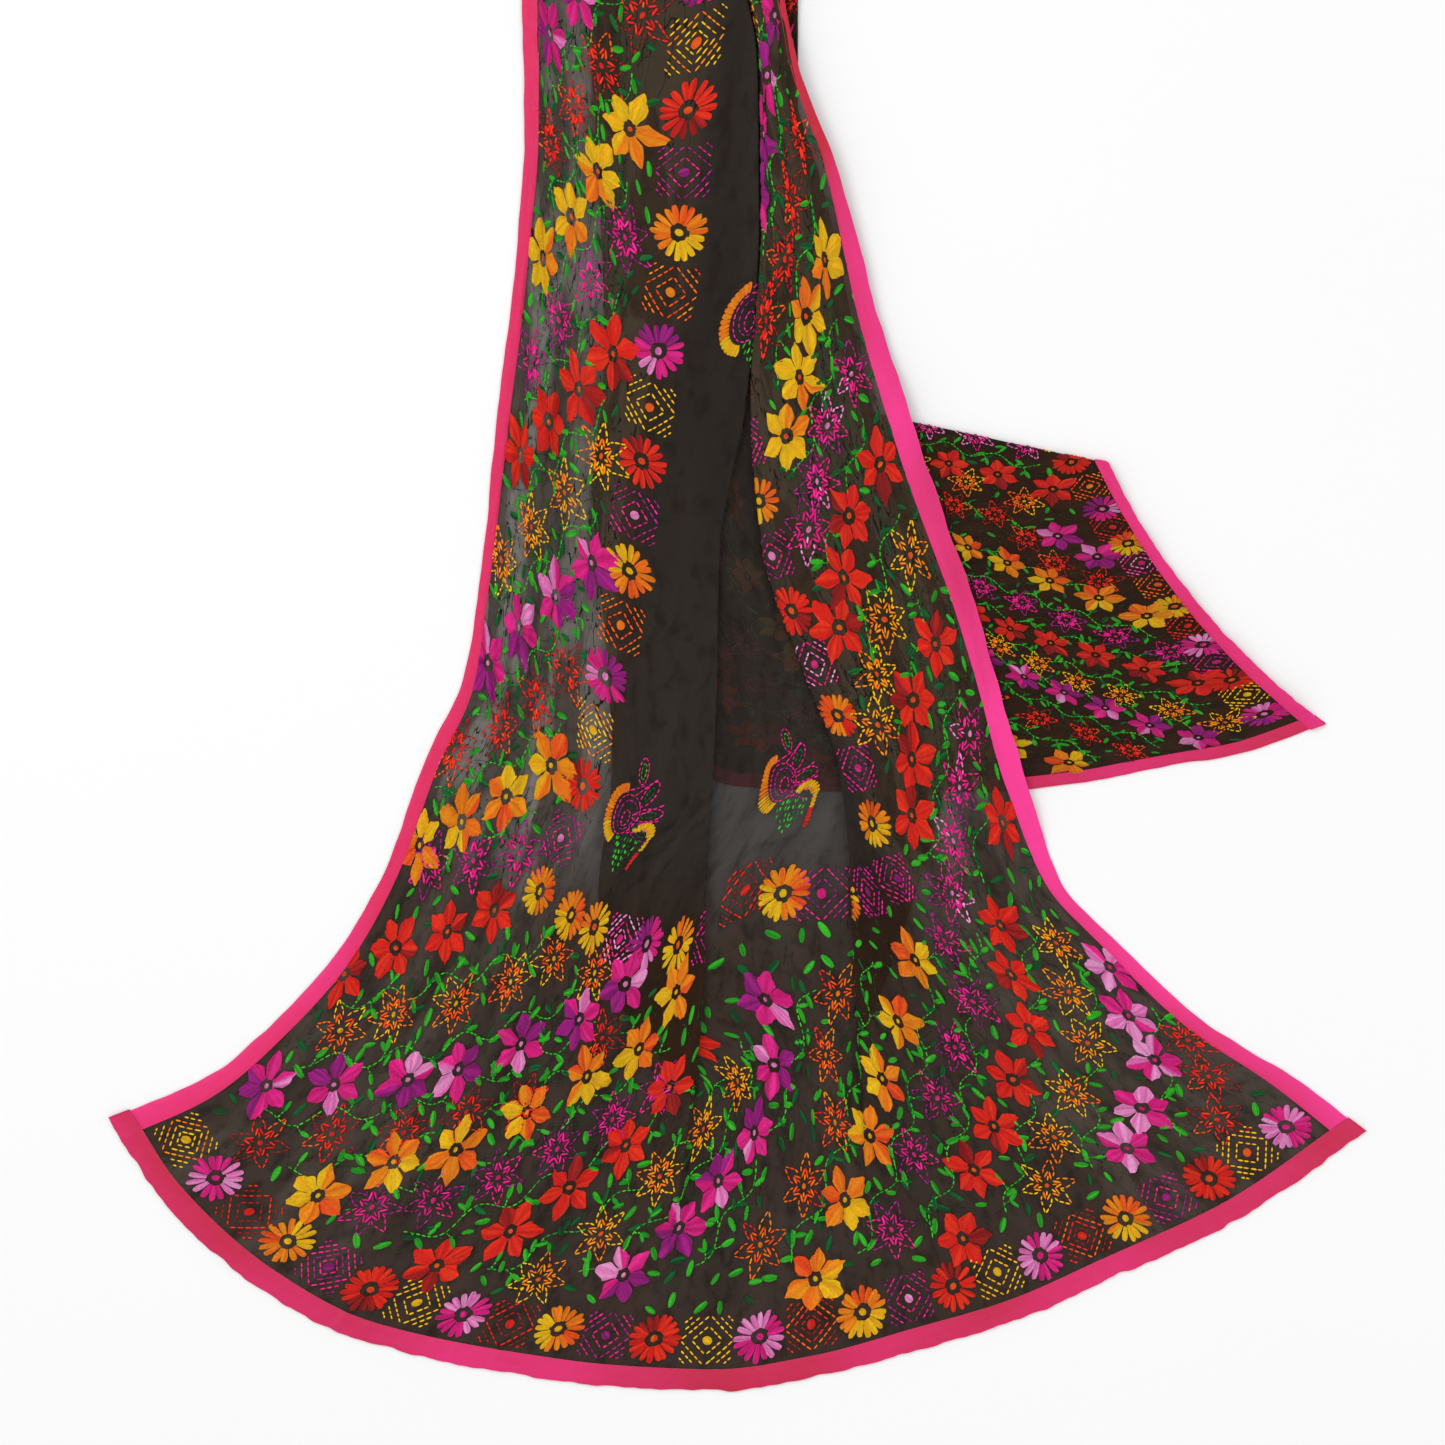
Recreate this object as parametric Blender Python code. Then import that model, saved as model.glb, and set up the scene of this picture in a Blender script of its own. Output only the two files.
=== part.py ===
"""A phulkari shawl, folded end over end, gathered at the fold and laid on a flat surface.

The front end fans out towards the viewer. The back end runs beneath it and spreads to the right.
+X runs to the right and +Y away from the viewer, both along the surface, and +Z points up.
Every size below is in millimetres, and the objects are made in metres.
"""

import math
from collections import namedtuple

import bpy
import numpy as np

MM = 0.001

# The middle of the whole object's length, which becomes the frame's origin
CENTRE_Y = 3.589

# The cut of the cloth
CLOTH_WIDTH = 920.0
BINDING_WIDTH = 16.0
SEAM_GAP = 0.8
CLOTH_WALL = 1.0
BINDING_WALL = 1.6

# How the cloth is folded
LIP_RADIUS = 1.4
LAYER_RISE = 2 * LIP_RADIUS
TUCK_SLOPE = 18.0
STACK_HEIGHT = CLOTH_WALL + 2 * LAYER_RISE
TURN_INNER_RADIUS = 0.5
TURN_CENTRE_HEIGHT = TURN_INNER_RADIUS + STACK_HEIGHT
TURN_BASE = TURN_CENTRE_HEIGHT + TURN_INNER_RADIUS
TURN_RAMP = 90.0
TURN_TAIL = 5.0
LAYER_CLEARANCE = 1.4

# Where the embroidered strip along each long edge ends
STRIP_WIDTH = 152.0

# How far down the front sections hang, as a share of their dip, from the left edge to the right.
# One column for the hem, one for the gathered end of the panel and one for the length above it.
SectionShape = namedtuple("SectionShape", "share hem panel length")
SECTION_SHAPES = [
    SectionShape(0.0, 0.0, 0.0, 0.0),
    SectionShape(0.04, 0.29, 0.17, 0.16),
    SectionShape(0.12, 0.63, 0.48, 0.42),
    SectionShape(0.20, 0.825, 0.70, 0.63),
    SectionShape(0.32, 0.94, 0.96, 0.86),
    SectionShape(0.40, 0.985, 1.0, 0.97),
    SectionShape(0.48, 1.0, 0.90, 1.0),
    SectionShape(0.56, 0.945, 0.70, 0.97),
    SectionShape(0.64, 0.84, 0.63, 0.88),
    SectionShape(0.72, 0.725, 0.59, 0.74),
    SectionShape(0.80, 0.555, 0.47, 0.56),
    SectionShape(0.90, 0.33, 0.27, 0.30),
    SectionShape(1.0, 0.0, 0.0, 0.0),
]
PANEL_AT, LENGTH_AT = 320.0, 600.0

# One row for each section of the front stretch. along: cloth length from the front hem.
# left, right: the two long edges. dip: how far the middle hangs below them.
# lip_left, lip_right: where the two folds turn under, and cloth_left, cloth_right: the cloth
# across to each. tuck: cloth folded under each lip. turn: how far each fold turns, in degrees.
# strip: how much of the left strip shows, against the cloth beside it.
FrontRow = namedtuple(
    "FrontRow",
    "along left_x left_y right_x right_y dip lip_left lip_right "
    "cloth_left cloth_right tuck_left tuck_right turn strip",
)
FRONT_ROWS = [
    FrontRow(0, -416, -444, 416, -453, 177, -64, 94, 409, 550, 0, 0, 12, 1.0),
    FrontRow(66, -355, -419, 363, -414, 146, -54, 91, 402, 560, 0, 0, 60, 1.0),
    FrontRow(132, -304, -378, 307, -379, 122, -41, 86, 395, 580, 0, 0, 110, 1.0),
    FrontRow(198, -260, -329, 257, -334, 106, -31, 82, 385, 610, 0, 0, 150, 1.0),
    FrontRow(264, -229, -271, 213, -286, 94, -24, 78, 372, 650, 30, 26, 180, 1.1),
    FrontRow(330, -207, -209, 192, -224, 86, -22, 75, 345, 700, 66, 56, 180, 1.3),
    FrontRow(396, -180, -149, 173, -160, 82, -18, 67, 262, 728, 90, 78, 180, 0.75),
    FrontRow(462, -170, -84, 156, -98, 80, -15, 46, 243, 734, 104, 88, 180, 0.56),
    FrontRow(561, -160, 11, 121, 0, 76, -13, 17, 228, 740, 114, 92, 180, 0.54),
    FrontRow(660, -148, 110, 94, 84, 69, 5, 10, 232, 760, 118, 76, 180, 0.57),
    FrontRow(759, -141, 209, 67, 179, 59, 13, 17, 220, 790, 118, 44, 180, 0.6),
    FrontRow(846, -140, 295, 40, 265, 53, 13, 17, 207, 820, 110, 18, 180, 0.6),
    FrontRow(957, -143, 404, 35, 378, 36, 12, 16, 210, 820, 108, 14, 180, 0.6),
    FrontRow(1089, -146, 533, 36, 519, 13, 9, 13, 212, 815, 106, 18, 180, 0.6),
    FrontRow(1188, -146, 625, 36, 625, 0, 7, 11, 215, 810, 104, 20, 180, 0.6),
]

# Soft ridges beside the two folds. part and share: the side and how far across it. turn_...: how
# steep the ridge is at the hem, in the end panel, above it, in the gathered length and at the top.
Ridge = namedtuple("Ridge", "part share radius turn_hem turn_panel turn_above turn_length turn_top")
RIDGES = [
    Ridge("left", 0.50, 3.6, 30, 78, 60, 50, 15),
    Ridge("left", 0.76, 3.8, 26, 84, 66, 8, 5),
    Ridge("middle", 0.50, 3.6, 24, 76, 40, 5, 5),
    Ridge("right", 0.22, 3.8, 26, 80, 60, 40, 8),
    Ridge("right", 0.46, 3.4, 28, 70, 68, 62, 12),
]
RIDGE_STATIONS = (0.0, 190.0, 400.0, 640.0, 1150.0)

# One row for each section of the back stretch. lower: its long edge, which shows at the right.
# upper: the fold along its other side. across: cloth across to that fold. bow: inward bend.
BackRow = namedtuple("BackRow", "along lower_x lower_y upper_x upper_y bow")
BACK_ROWS = [
    BackRow(0, -146, 619, 36, 619, 0),
    BackRow(90, -134, 530, 38, 545, 0),
    BackRow(200, -114, 415, 39, 455, 0),
    BackRow(310, -100, 295, 40, 370, 0),
    BackRow(420, -92, 170, 40, 290, 0),
    BackRow(520, -86, 50, 40, 225, 0),
    BackRow(610, -78, -60, 41, 170, 0),
    BackRow(690, -60, -155, 43, 120, 0),
    BackRow(770, 0, -214, 46, 80, 2),
    BackRow(830, 80, -229, 50, 55, 5),
    BackRow(890, 165, -229, 60, 38, 8),
    BackRow(950, 229, -223, 80, 25, 10),
    BackRow(1010, 261, -217, 108, 17, 11),
    BackRow(1070, 293, -211, 146, 9, 12),
    BackRow(1130, 332, -204, 192, -1, 13),
    BackRow(1190, 389, -184, 245, -12, 14),
]
BACK_COVER = 0.90
BACK_SLOPE = 14.0
BACK_START = 2.0
BACK_HEIGHT = CLOTH_WALL + LAYER_RISE
BACK_BINDING_SHOWN = 10.0

# How finely the solids are faceted
LIFT_GRID = 5.0
LIFT_SPREAD = 28.0
LIFT_SOFTENING = 4

PINK = (0.80, 0.03, 0.20, 1.0)
BLACK = (0.016, 0.013, 0.011, 1.0)


def smooth_step(x):
    """0 below 0, 1 above 1, and an even ease between them."""
    x = np.clip(x, 0.0, 1.0)
    return x * x * (3 - 2 * x)


def monotone_slopes(x, y):
    """The slopes of a curve through the points that never overshoots them."""
    steps = np.diff(y) / np.diff(x)
    slopes = np.zeros(len(x))
    for i in range(1, len(x) - 1):
        before, after = steps[i - 1], steps[i]
        if before * after > 0:
            slopes[i] = 2 * before * after / (before + after)
    slopes[0], slopes[-1] = steps[0], steps[-1]
    return slopes


def follow(x, xs, ys):
    """The value at x of a smooth curve through (xs, ys)."""
    xs, ys = np.asarray(xs, float), np.asarray(ys, float)
    slopes = monotone_slopes(xs, ys)
    x = np.clip(x, xs[0], xs[-1])
    i = int(np.clip(np.searchsorted(xs, x) - 1, 0, len(xs) - 2))
    width = xs[i + 1] - xs[i]
    t = (x - xs[i]) / width
    h00, h10 = 2 * t**3 - 3 * t**2 + 1, t**3 - 2 * t**2 + t
    h01, h11 = -2 * t**3 + 3 * t**2, t**3 - t**2
    return h00 * ys[i] + h10 * width * slopes[i] + h01 * ys[i + 1] + h11 * width * slopes[i + 1]


def row_at(rows, along):
    """The table's row at any length along the cloth, read from smooth curves through its columns."""
    kind = type(rows[0])
    stations = [row.along for row in rows]
    values = [follow(along, stations, [row[i] for row in rows]) for i in range(len(rows[0]))]
    return kind(*values)


def front_plan(row, count=81):
    """The front section's line seen from above: its points, and the length to each."""
    share = np.linspace(0, 1, count)
    x = row.left_x + (row.right_x - row.left_x) * share
    chord = row.left_y + (row.right_y - row.left_y) * share
    stations = [shape.share for shape in SECTION_SHAPES]
    curves = [[follow(at, stations, [shape[i] for shape in SECTION_SHAPES]) for at in share] for i in (1, 2, 3)]
    hem, panel, length = np.array(curves)
    to_panel = smooth_step(row.along / PANEL_AT)
    to_length = smooth_step((row.along - PANEL_AT) / (LENGTH_AT - PANEL_AT))
    fall = (hem * (1 - to_panel) + panel * to_panel) * (1 - to_length) + length * to_length
    y = chord - row.dip * fall
    lengths = np.concatenate([[0], np.cumsum(np.hypot(np.diff(x), np.diff(y)))])
    return x, y, lengths


def ridge_turn(ridge, along):
    turns = (ridge.turn_hem, ridge.turn_panel, ridge.turn_above, ridge.turn_length, ridge.turn_top)
    return math.radians(follow(along, RIDGE_STATIONS, turns))


def ridge_shape(turn, radius, count):
    """A ridge of three arcs: cloth length, run and height at each point."""
    cloth = np.linspace(0, 4 * turn * radius, count)
    heading = turn - np.abs(cloth / radius - turn)
    heading = np.where(cloth > 2 * turn * radius, np.abs(cloth / radius - 3 * turn) - turn, heading)
    fine = np.linspace(0, 4 * turn * radius, 241)
    fine_heading = np.interp(fine, [0, turn * radius, 3 * turn * radius, 4 * turn * radius],
                             [0, turn, -turn, 0])
    step = fine[1] - fine[0]
    middle = (fine_heading[1:] + fine_heading[:-1]) / 2
    run = np.concatenate([[0], np.cumsum(np.cos(middle) * step)])
    rise = np.concatenate([[0], np.cumsum(np.sin(middle) * step)])
    return cloth, np.interp(cloth, fine, run), np.interp(cloth, fine, rise)


def fold_shape(turn, tuck, count):
    """A fold that turns down and under, and back: cloth length, run and drop at each point."""
    angles = np.linspace(0, turn, count)
    first_run, first_drop = LIP_RADIUS * np.sin(angles), LIP_RADIUS * (1 - np.cos(angles))
    back_run = first_run[-1] - tuck
    second_run = back_run + LIP_RADIUS * (math.sin(turn) - np.sin(angles[::-1]))
    second_drop = first_drop[-1] + LIP_RADIUS * (np.cos(angles[::-1]) - math.cos(turn))
    cloth = np.concatenate([LIP_RADIUS * angles, LIP_RADIUS * (turn + angles) + tuck])
    return cloth, np.concatenate([first_run, second_run]), np.concatenate([first_drop, second_drop])


def across_part(part, along, cloth, start, end, counts, strip_weight):
    """Points across a part of the section with its ridges: cloth, run and ridge height."""
    ridges = [r for r in RIDGES if r.part == part]
    marks, shapes = [], []
    for ridge in ridges:
        shape = ridge_shape(ridge_turn(ridge, along), ridge.radius, counts["ridge"])
        marks.append(cloth[0] + ridge.share * (cloth[1] - cloth[0]))
        shapes.append(shape)
    edges = [cloth[0]]
    for mark, shape in zip(marks, shapes):
        edges += [mark - shape[0][-1] / 2, mark + shape[0][-1] / 2]
    edges.append(cloth[1])
    sizes = [counts["run"]] * (len(ridges) + 1)
    if part == "left":
        sizes[0] = counts["end"]
    elif part == "right":
        sizes[-1] = counts["end"]
    runs = [np.linspace(edges[2 * i], edges[2 * i + 1], size) for i, size in enumerate(sizes)]
    shown = [np.concatenate([[0], np.cumsum(np.diff(r) * strip_weight((r[1:] + r[:-1]) / 2))]) for r in runs]
    left_over = end - start - sum(shape[1][-1] for shape in shapes)
    scale = left_over / sum(s[-1] for s in shown)
    out_cloth, out_run, out_rise = [], [], []
    at = start
    for i, run in enumerate(runs):
        out_cloth.append(run)
        out_run.append(at + scale * shown[i])
        out_rise.append(np.zeros(len(run)))
        at = out_run[-1][-1]
        if i < len(shapes):
            length, advance, rise = shapes[i]
            out_cloth.append(edges[2 * i + 1] + length[1:-1])
            out_run.append(at + advance[1:-1])
            out_rise.append(rise[1:-1])
            at += advance[-1]
    return np.concatenate(out_cloth), np.concatenate(out_run), np.concatenate(out_rise)


def front_section(along, counts):
    """The whole front section at one length: cloth across, distance along its plan line, height."""
    row = row_at(FRONT_ROWS, min(along, FRONT_ROWS[-1].along))
    x, y, lengths = front_plan(row)
    left_lip = np.interp(row.lip_left, x, lengths)
    right_lip = np.interp(row.lip_right, x, lengths)
    turn = math.radians(row.turn)
    drop = 2 * LIP_RADIUS * (1 - math.cos(turn))
    fold_cloth, fold_run, fold_drop = fold_shape(turn, row.tuck_left, counts["lip"])
    back_cloth, back_run, back_drop = fold_shape(turn, row.tuck_right, counts["lip"])

    def left_weight(cloth):
        return np.where(cloth < STRIP_WIDTH, row.strip, 1.0)

    def right_weight(cloth):
        return np.where(cloth > CLOTH_WIDTH - STRIP_WIDTH, max(row.strip, 0.8), 1.0)

    cloth_l, run_l, rise_l = across_part(
        "left", along, (0.0, row.cloth_left), 0.0, left_lip, counts, left_weight)
    level_l = drop * smooth_step((run_l - (left_lip - row.tuck_left - 2 * TUCK_SLOPE)) / TUCK_SLOPE)
    under_cloth = (row.cloth_left + fold_cloth[-1], row.cloth_right - back_cloth[-1])
    under_run = (left_lip + fold_run[-1], right_lip - back_run[-1])
    cloth_m, run_m, rise_m = across_part(
        "middle", along, under_cloth, under_run[0], under_run[1], counts, lambda cloth: np.ones(len(cloth)))
    cloth_r, run_r, rise_r = across_part(
        "right", along, (row.cloth_right, CLOTH_WIDTH), right_lip, lengths[-1], counts, right_weight)
    level_r = drop * smooth_step((right_lip + row.tuck_right + 2 * TUCK_SLOPE - run_r) / TUCK_SLOPE)

    cloth = [cloth_l, row.cloth_left + fold_cloth[1:-1], cloth_m,
             row.cloth_right - back_cloth[::-1][1:-1], cloth_r]
    run = [run_l, left_lip + fold_run[1:-1], run_m, right_lip - back_run[::-1][1:-1], run_r]
    height = [level_l + rise_l, drop - fold_drop[1:-1], rise_m, drop - back_drop[::-1][1:-1], level_r + rise_r]
    return row, (x, y, lengths), np.concatenate(cloth), np.concatenate(run), np.concatenate(height)


def back_section(along, cloth_shares, under_count, lip_count):
    """The back section at one length: points from its long edge to the fold, and back beneath."""
    row = row_at(BACK_ROWS, along)
    width = math.hypot(row.upper_x - row.lower_x, row.upper_y - row.lower_y)
    fold_at = width - LIP_RADIUS
    top_run = fold_at * cloth_shares
    under_start = width * (1 - BACK_COVER)
    level = LAYER_RISE * smooth_step((top_run - (under_start - BACK_SLOPE - 4)) / BACK_SLOPE)
    angles = np.linspace(0, math.pi, lip_count)[1:-1]
    lip_run, lip_height = fold_at + LIP_RADIUS * np.sin(angles), LIP_RADIUS * (1 + np.cos(angles))
    under_run = np.linspace(fold_at, under_start, under_count)
    run = np.concatenate([top_run, lip_run, under_run])
    height = np.concatenate([level, lip_height, np.zeros(under_count)])
    share = run / width
    bend = row.bow * 4 * share * (1 - share)
    across_x, across_y = (row.upper_x - row.lower_x) / width, (row.upper_y - row.lower_y) / width
    x = row.lower_x + across_x * run - bend * across_y
    y = row.lower_y + across_y * run + bend * across_x
    ripple = back_ripple(top_run, width, along)
    height[: len(top_run)] += ripple
    return np.stack([x, y, height + CLOTH_WALL / 2], axis=1)


def back_ripple(run, width, along):
    """Long soft waves that run towards the back hem, strongest where the cloth shows."""
    strength = 2.2 * smooth_step((along - 860.0) / 120.0)
    fade = smooth_step(run / 20.0) * smooth_step((width - run) / 18.0)
    return strength * fade * (0.5 - 0.5 * np.cos(2 * math.pi * (run / 46.0 + along / 420.0)))


def lift_map():
    """The height that the back stretch gives to the cloth lying over it, on an even grid."""
    low, high = np.array([-460.0, -660.0]), np.array([460.0, 700.0])
    size = ((high - low) / LIFT_GRID).astype(int) + 1
    grid = np.zeros(size)
    shares = np.linspace(0, 1, 90)
    for along in np.linspace(BACK_ROWS[0].along, BACK_ROWS[-1].along, 420):
        points = back_section(along, shares, 60, 6)
        cells = np.round((points[:, :2] - low) / LIFT_GRID).astype(int)
        np.maximum.at(grid, (cells[:, 0], cells[:, 1]), points[:, 2] + CLOTH_WALL / 2 + LAYER_CLEARANCE)
    reach = int(round(LIFT_SPREAD / LIFT_GRID))
    spread = grid.copy()
    for i in range(-reach, reach + 1):
        for j in range(-reach, reach + 1):
            if i * i + j * j <= reach * reach:
                spread = np.maximum(spread, np.roll(np.roll(grid, i, 0), j, 1))
    for _ in range(LIFT_SOFTENING):
        for axis in (0, 1):
            spread = (np.roll(spread, 1, axis) + spread + np.roll(spread, -1, axis)) / 3
    return low, spread


def lift_at(lift, x, y):
    """The lift at points, read between the grid's cells."""
    low, grid = lift
    gx = np.clip((x - low[0]) / LIFT_GRID, 0, grid.shape[0] - 1.001)
    gy = np.clip((y - low[1]) / LIFT_GRID, 0, grid.shape[1] - 1.001)
    i, j = gx.astype(int), gy.astype(int)
    fx, fy = gx - i, gy - j
    near = grid[i, j] * (1 - fx) + grid[i + 1, j] * fx
    far = grid[i, j + 1] * (1 - fx) + grid[i + 1, j + 1] * fx
    return near * (1 - fy) + far * fy


def front_points(along, lift, counts, thickness, band=None, trim=0.0):
    """The middle of the wall at one length, in space. Past the top, the stack turns over and under.

    band gives only the points across these lengths of cloth, and trim leaves out both edges.
    """
    top = FRONT_ROWS[-1].along
    row, (x, y, lengths), cloth, run, height = front_section(along, counts)
    wanted = cloth.copy()
    if trim:
        near = counts["end"]
        wanted[:near] = np.linspace(trim, cloth[near - 1], near)
        wanted[-near:] = np.linspace(cloth[-near], CLOTH_WIDTH - trim, near)
    if band is not None:
        wanted = np.asarray(band)
    run, height = np.interp(wanted, cloth, run), np.interp(wanted, cloth, height)
    cloth = wanted
    px, py = np.interp(run, lengths, x), np.interp(run, lengths, y)
    height = height + thickness / 2
    ramp = smooth_step((along - (top - TURN_RAMP)) / TURN_RAMP)
    base = lift_at(lift, px, py) * (1 - ramp) + TURN_BASE * ramp
    pz = base + height
    if along > top:
        arc = min((along - top) / (math.pi * (TURN_INNER_RADIUS + STACK_HEIGHT / 2)), 1.0) * math.pi
        tail = max(along - top - math.pi * (TURN_INNER_RADIUS + STACK_HEIGHT / 2), 0.0)
        reach = TURN_INNER_RADIUS + height
        py = row.left_y + reach * math.sin(arc) - tail
        pz = TURN_CENTRE_HEIGHT + reach * math.cos(arc)
    return cloth, np.stack([px, py, pz], axis=1)


def wall_mesh(name, grid, thickness, colour, roughness):
    """A closed wall of even thickness about a grid of points, with its underside flat on the surface."""
    grid = np.asarray(grid, float)
    rows, columns = grid.shape[:2]
    across = np.gradient(grid, axis=1)
    along = np.gradient(grid, axis=0)
    normal = np.cross(across, along)
    normal /= np.maximum(np.linalg.norm(normal, axis=2, keepdims=True), 1e-9)
    upper, lower = grid + normal * thickness / 2, grid - normal * thickness / 2
    upper[..., 2], lower[..., 2] = np.maximum(upper[..., 2], 0), np.maximum(lower[..., 2], 0)
    points = np.concatenate([upper.reshape(-1, 3), lower.reshape(-1, 3)])
    points = (points - np.array([0.0, CENTRE_Y, 0.0])) * MM
    count = rows * columns
    faces = []
    for r in range(rows - 1):
        for c in range(columns - 1):
            a, b = r * columns + c, r * columns + c + 1
            d, e = (r + 1) * columns + c, (r + 1) * columns + c + 1
            faces.append((a, b, e, d))
            faces.append((count + a, count + d, count + e, count + b))
    for r in range(rows - 1):
        left, left_next = r * columns, (r + 1) * columns
        right, right_next = left + columns - 1, left_next + columns - 1
        faces.append((left, left_next, count + left_next, count + left))
        faces.append((right, count + right, count + right_next, right_next))
    last = (rows - 1) * columns
    for c in range(columns - 1):
        faces.append((c, count + c, count + c + 1, c + 1))
        faces.append((last + c, last + c + 1, count + last + c + 1, count + last + c))
    mesh = bpy.data.meshes.new(name)
    mesh.from_pydata([tuple(p) for p in points], [], faces)
    mesh.validate()
    mesh.shade_smooth()
    mesh.set_sharp_from_angle(angle=math.radians(40))
    part = bpy.data.objects.new(name, mesh)
    bpy.context.scene.collection.objects.link(part)
    mesh.materials.append(cloth_material(name, colour, roughness))
    return part


def cloth_material(name, colour, roughness):
    material = bpy.data.materials.new(name)
    material.use_nodes = True
    shader = material.node_tree.nodes["Principled BSDF"]
    shader.inputs["Base Color"].default_value = colour
    shader.inputs["Roughness"].default_value = roughness
    shader.inputs["Metallic"].default_value = 0.0
    material.diffuse_color = colour
    return material


def front_stations(start):
    """Lengths along the front stretch, closer in the end panel and round the top turn."""
    top = FRONT_ROWS[-1].along
    turn = math.pi * (TURN_INNER_RADIUS + STACK_HEIGHT / 2)
    panel = np.linspace(start, 420.0, 16)
    length = np.linspace(420.0, top, 14)[1:]
    round_top = top + turn * np.array([0.2, 0.4, 0.6, 0.8, 1.0])
    return np.concatenate([panel, length, round_top, [top + turn + TURN_TAIL]])


def make_front(lift):
    counts = {"end": 8, "run": 3, "ridge": 5, "lip": 4}
    stations = front_stations(BINDING_WIDTH + SEAM_GAP)
    edge = BINDING_WIDTH + SEAM_GAP
    grid = []
    for along in stations:
        grid.append(front_points(along, lift, counts, CLOTH_WALL, trim=edge)[1])
    wall_mesh("body_front", grid, CLOTH_WALL, BLACK, 0.8)

    fine = {"end": 12, "run": 5, "ridge": 9, "lip": 7}
    for name, first, last in (
        ("binding_left_front", 0.0, BINDING_WIDTH),
        ("binding_right_front", CLOTH_WIDTH - BINDING_WIDTH, CLOTH_WIDTH),
    ):
        band = np.linspace(first, last, 4)
        strip = [front_points(along, lift, fine, BINDING_WALL, band=band)[1] for along in stations]
        wall_mesh(name, strip, BINDING_WALL, PINK, 0.7)
    hem = []
    for along in (0.0, BINDING_WIDTH / 2, BINDING_WIDTH):
        hem.append(front_points(along, lift, counts, BINDING_WALL)[1])
    wall_mesh("binding_hem_front", hem, BINDING_WALL, PINK, 0.7)


def make_back():
    """The back stretch, its long binding where it shows, and its hem binding."""
    end = BACK_ROWS[-1].along
    hem_shown = BACK_BINDING_SHOWN
    shows_from = 760.0
    stations = np.concatenate([np.linspace(BACK_START, shows_from, 12)[:-1],
                               np.linspace(shows_from, end - hem_shown - SEAM_GAP, 13)])

    def width_at(along):
        row = row_at(BACK_ROWS, along)
        return math.hypot(row.upper_x - row.lower_x, row.upper_y - row.lower_y)

    def section(along, first, last):
        shares = np.linspace(first, last, 20)
        return back_section(along, shares, 4, 6)

    body = [section(a, (hem_shown + SEAM_GAP) / width_at(a), 1.0) for a in stations]
    wall_mesh("body_back", body, CLOTH_WALL, BLACK, 0.8)

    def raised(points):
        return points + np.array([0, 0, (BINDING_WALL - CLOTH_WALL) / 2])

    long_strip = []
    for along in stations:
        shares = np.linspace(0.0, hem_shown / width_at(along), 3)
        long_strip.append(raised(back_section(along, shares, 2, 3)[:3]))
    wall_mesh("binding_long_back", long_strip, BINDING_WALL, PINK, 0.7)
    hem = [raised(section(a, 0.0, 1.0)) for a in (end - hem_shown, end - hem_shown / 2, end)]
    wall_mesh("binding_hem_back", hem, BINDING_WALL, PINK, 0.7)


def main():
    for old in list(bpy.data.objects):
        bpy.data.objects.remove(old)
    lift = lift_map()
    make_front(lift)
    make_back()


main()
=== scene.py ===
import math
import bpy
import numpy as np
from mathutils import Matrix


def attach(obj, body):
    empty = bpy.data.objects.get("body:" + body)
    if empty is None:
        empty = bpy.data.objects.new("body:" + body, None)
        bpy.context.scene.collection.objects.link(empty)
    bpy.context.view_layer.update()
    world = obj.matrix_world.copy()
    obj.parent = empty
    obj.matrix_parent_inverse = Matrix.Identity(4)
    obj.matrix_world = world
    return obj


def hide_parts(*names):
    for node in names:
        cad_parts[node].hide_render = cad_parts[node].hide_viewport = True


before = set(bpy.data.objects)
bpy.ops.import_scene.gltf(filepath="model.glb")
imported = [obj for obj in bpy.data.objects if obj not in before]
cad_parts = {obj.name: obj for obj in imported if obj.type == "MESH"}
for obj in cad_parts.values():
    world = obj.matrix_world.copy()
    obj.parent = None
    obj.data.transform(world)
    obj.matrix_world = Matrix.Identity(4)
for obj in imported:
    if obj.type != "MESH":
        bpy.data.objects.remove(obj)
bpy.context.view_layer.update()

# An embroidered phulkari shawl, folded end over end and laid flat.
# Lengths on the cloth are in millimetres: u runs across the cut, v runs from the hem.

mm = 0.001
cut = {"width": 920.0, "binding": 16.0, "strip": 152.0, "centreY": 3.589}


# Helpers

def ease(x):
    x = np.clip(x, 0.0, 1.0)
    return x * x * (3 - 2 * x)


def follow(at, xs, ys):
    # a smooth curve through the points that never overshoots them
    xs, ys, at = np.asarray(xs, float), np.asarray(ys, float), np.asarray(at, float)
    steps = np.diff(ys) / np.diff(xs)
    slopes = np.zeros(len(xs))
    for i in range(1, len(xs) - 1):
        if steps[i - 1] * steps[i] > 0:
            slopes[i] = 2 * steps[i - 1] * steps[i] / (steps[i - 1] + steps[i])
    slopes[0], slopes[-1] = steps[0], steps[-1]
    at = np.clip(at, xs[0], xs[-1])
    i = np.clip(np.searchsorted(xs, at) - 1, 0, len(xs) - 2)
    gap = xs[i + 1] - xs[i]
    t = (at - xs[i]) / gap
    return ((2 * t**3 - 3 * t**2 + 1) * ys[i] + (t**3 - 2 * t**2 + t) * gap * slopes[i]
            + (-2 * t**3 + 3 * t**2) * ys[i + 1] + (t**3 - t**2) * gap * slopes[i + 1])


class Section:
    # one row of a table, read between its rows
    def __init__(self, table, along):
        rows = np.array(table["rows"], float)
        for i, name in enumerate(table["columns"].split()):
            setattr(self, name, float(follow(along, rows[:, 0], rows[:, i])))


def runningSum(steps):
    return np.concatenate([[0], np.cumsum(steps)])


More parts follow.
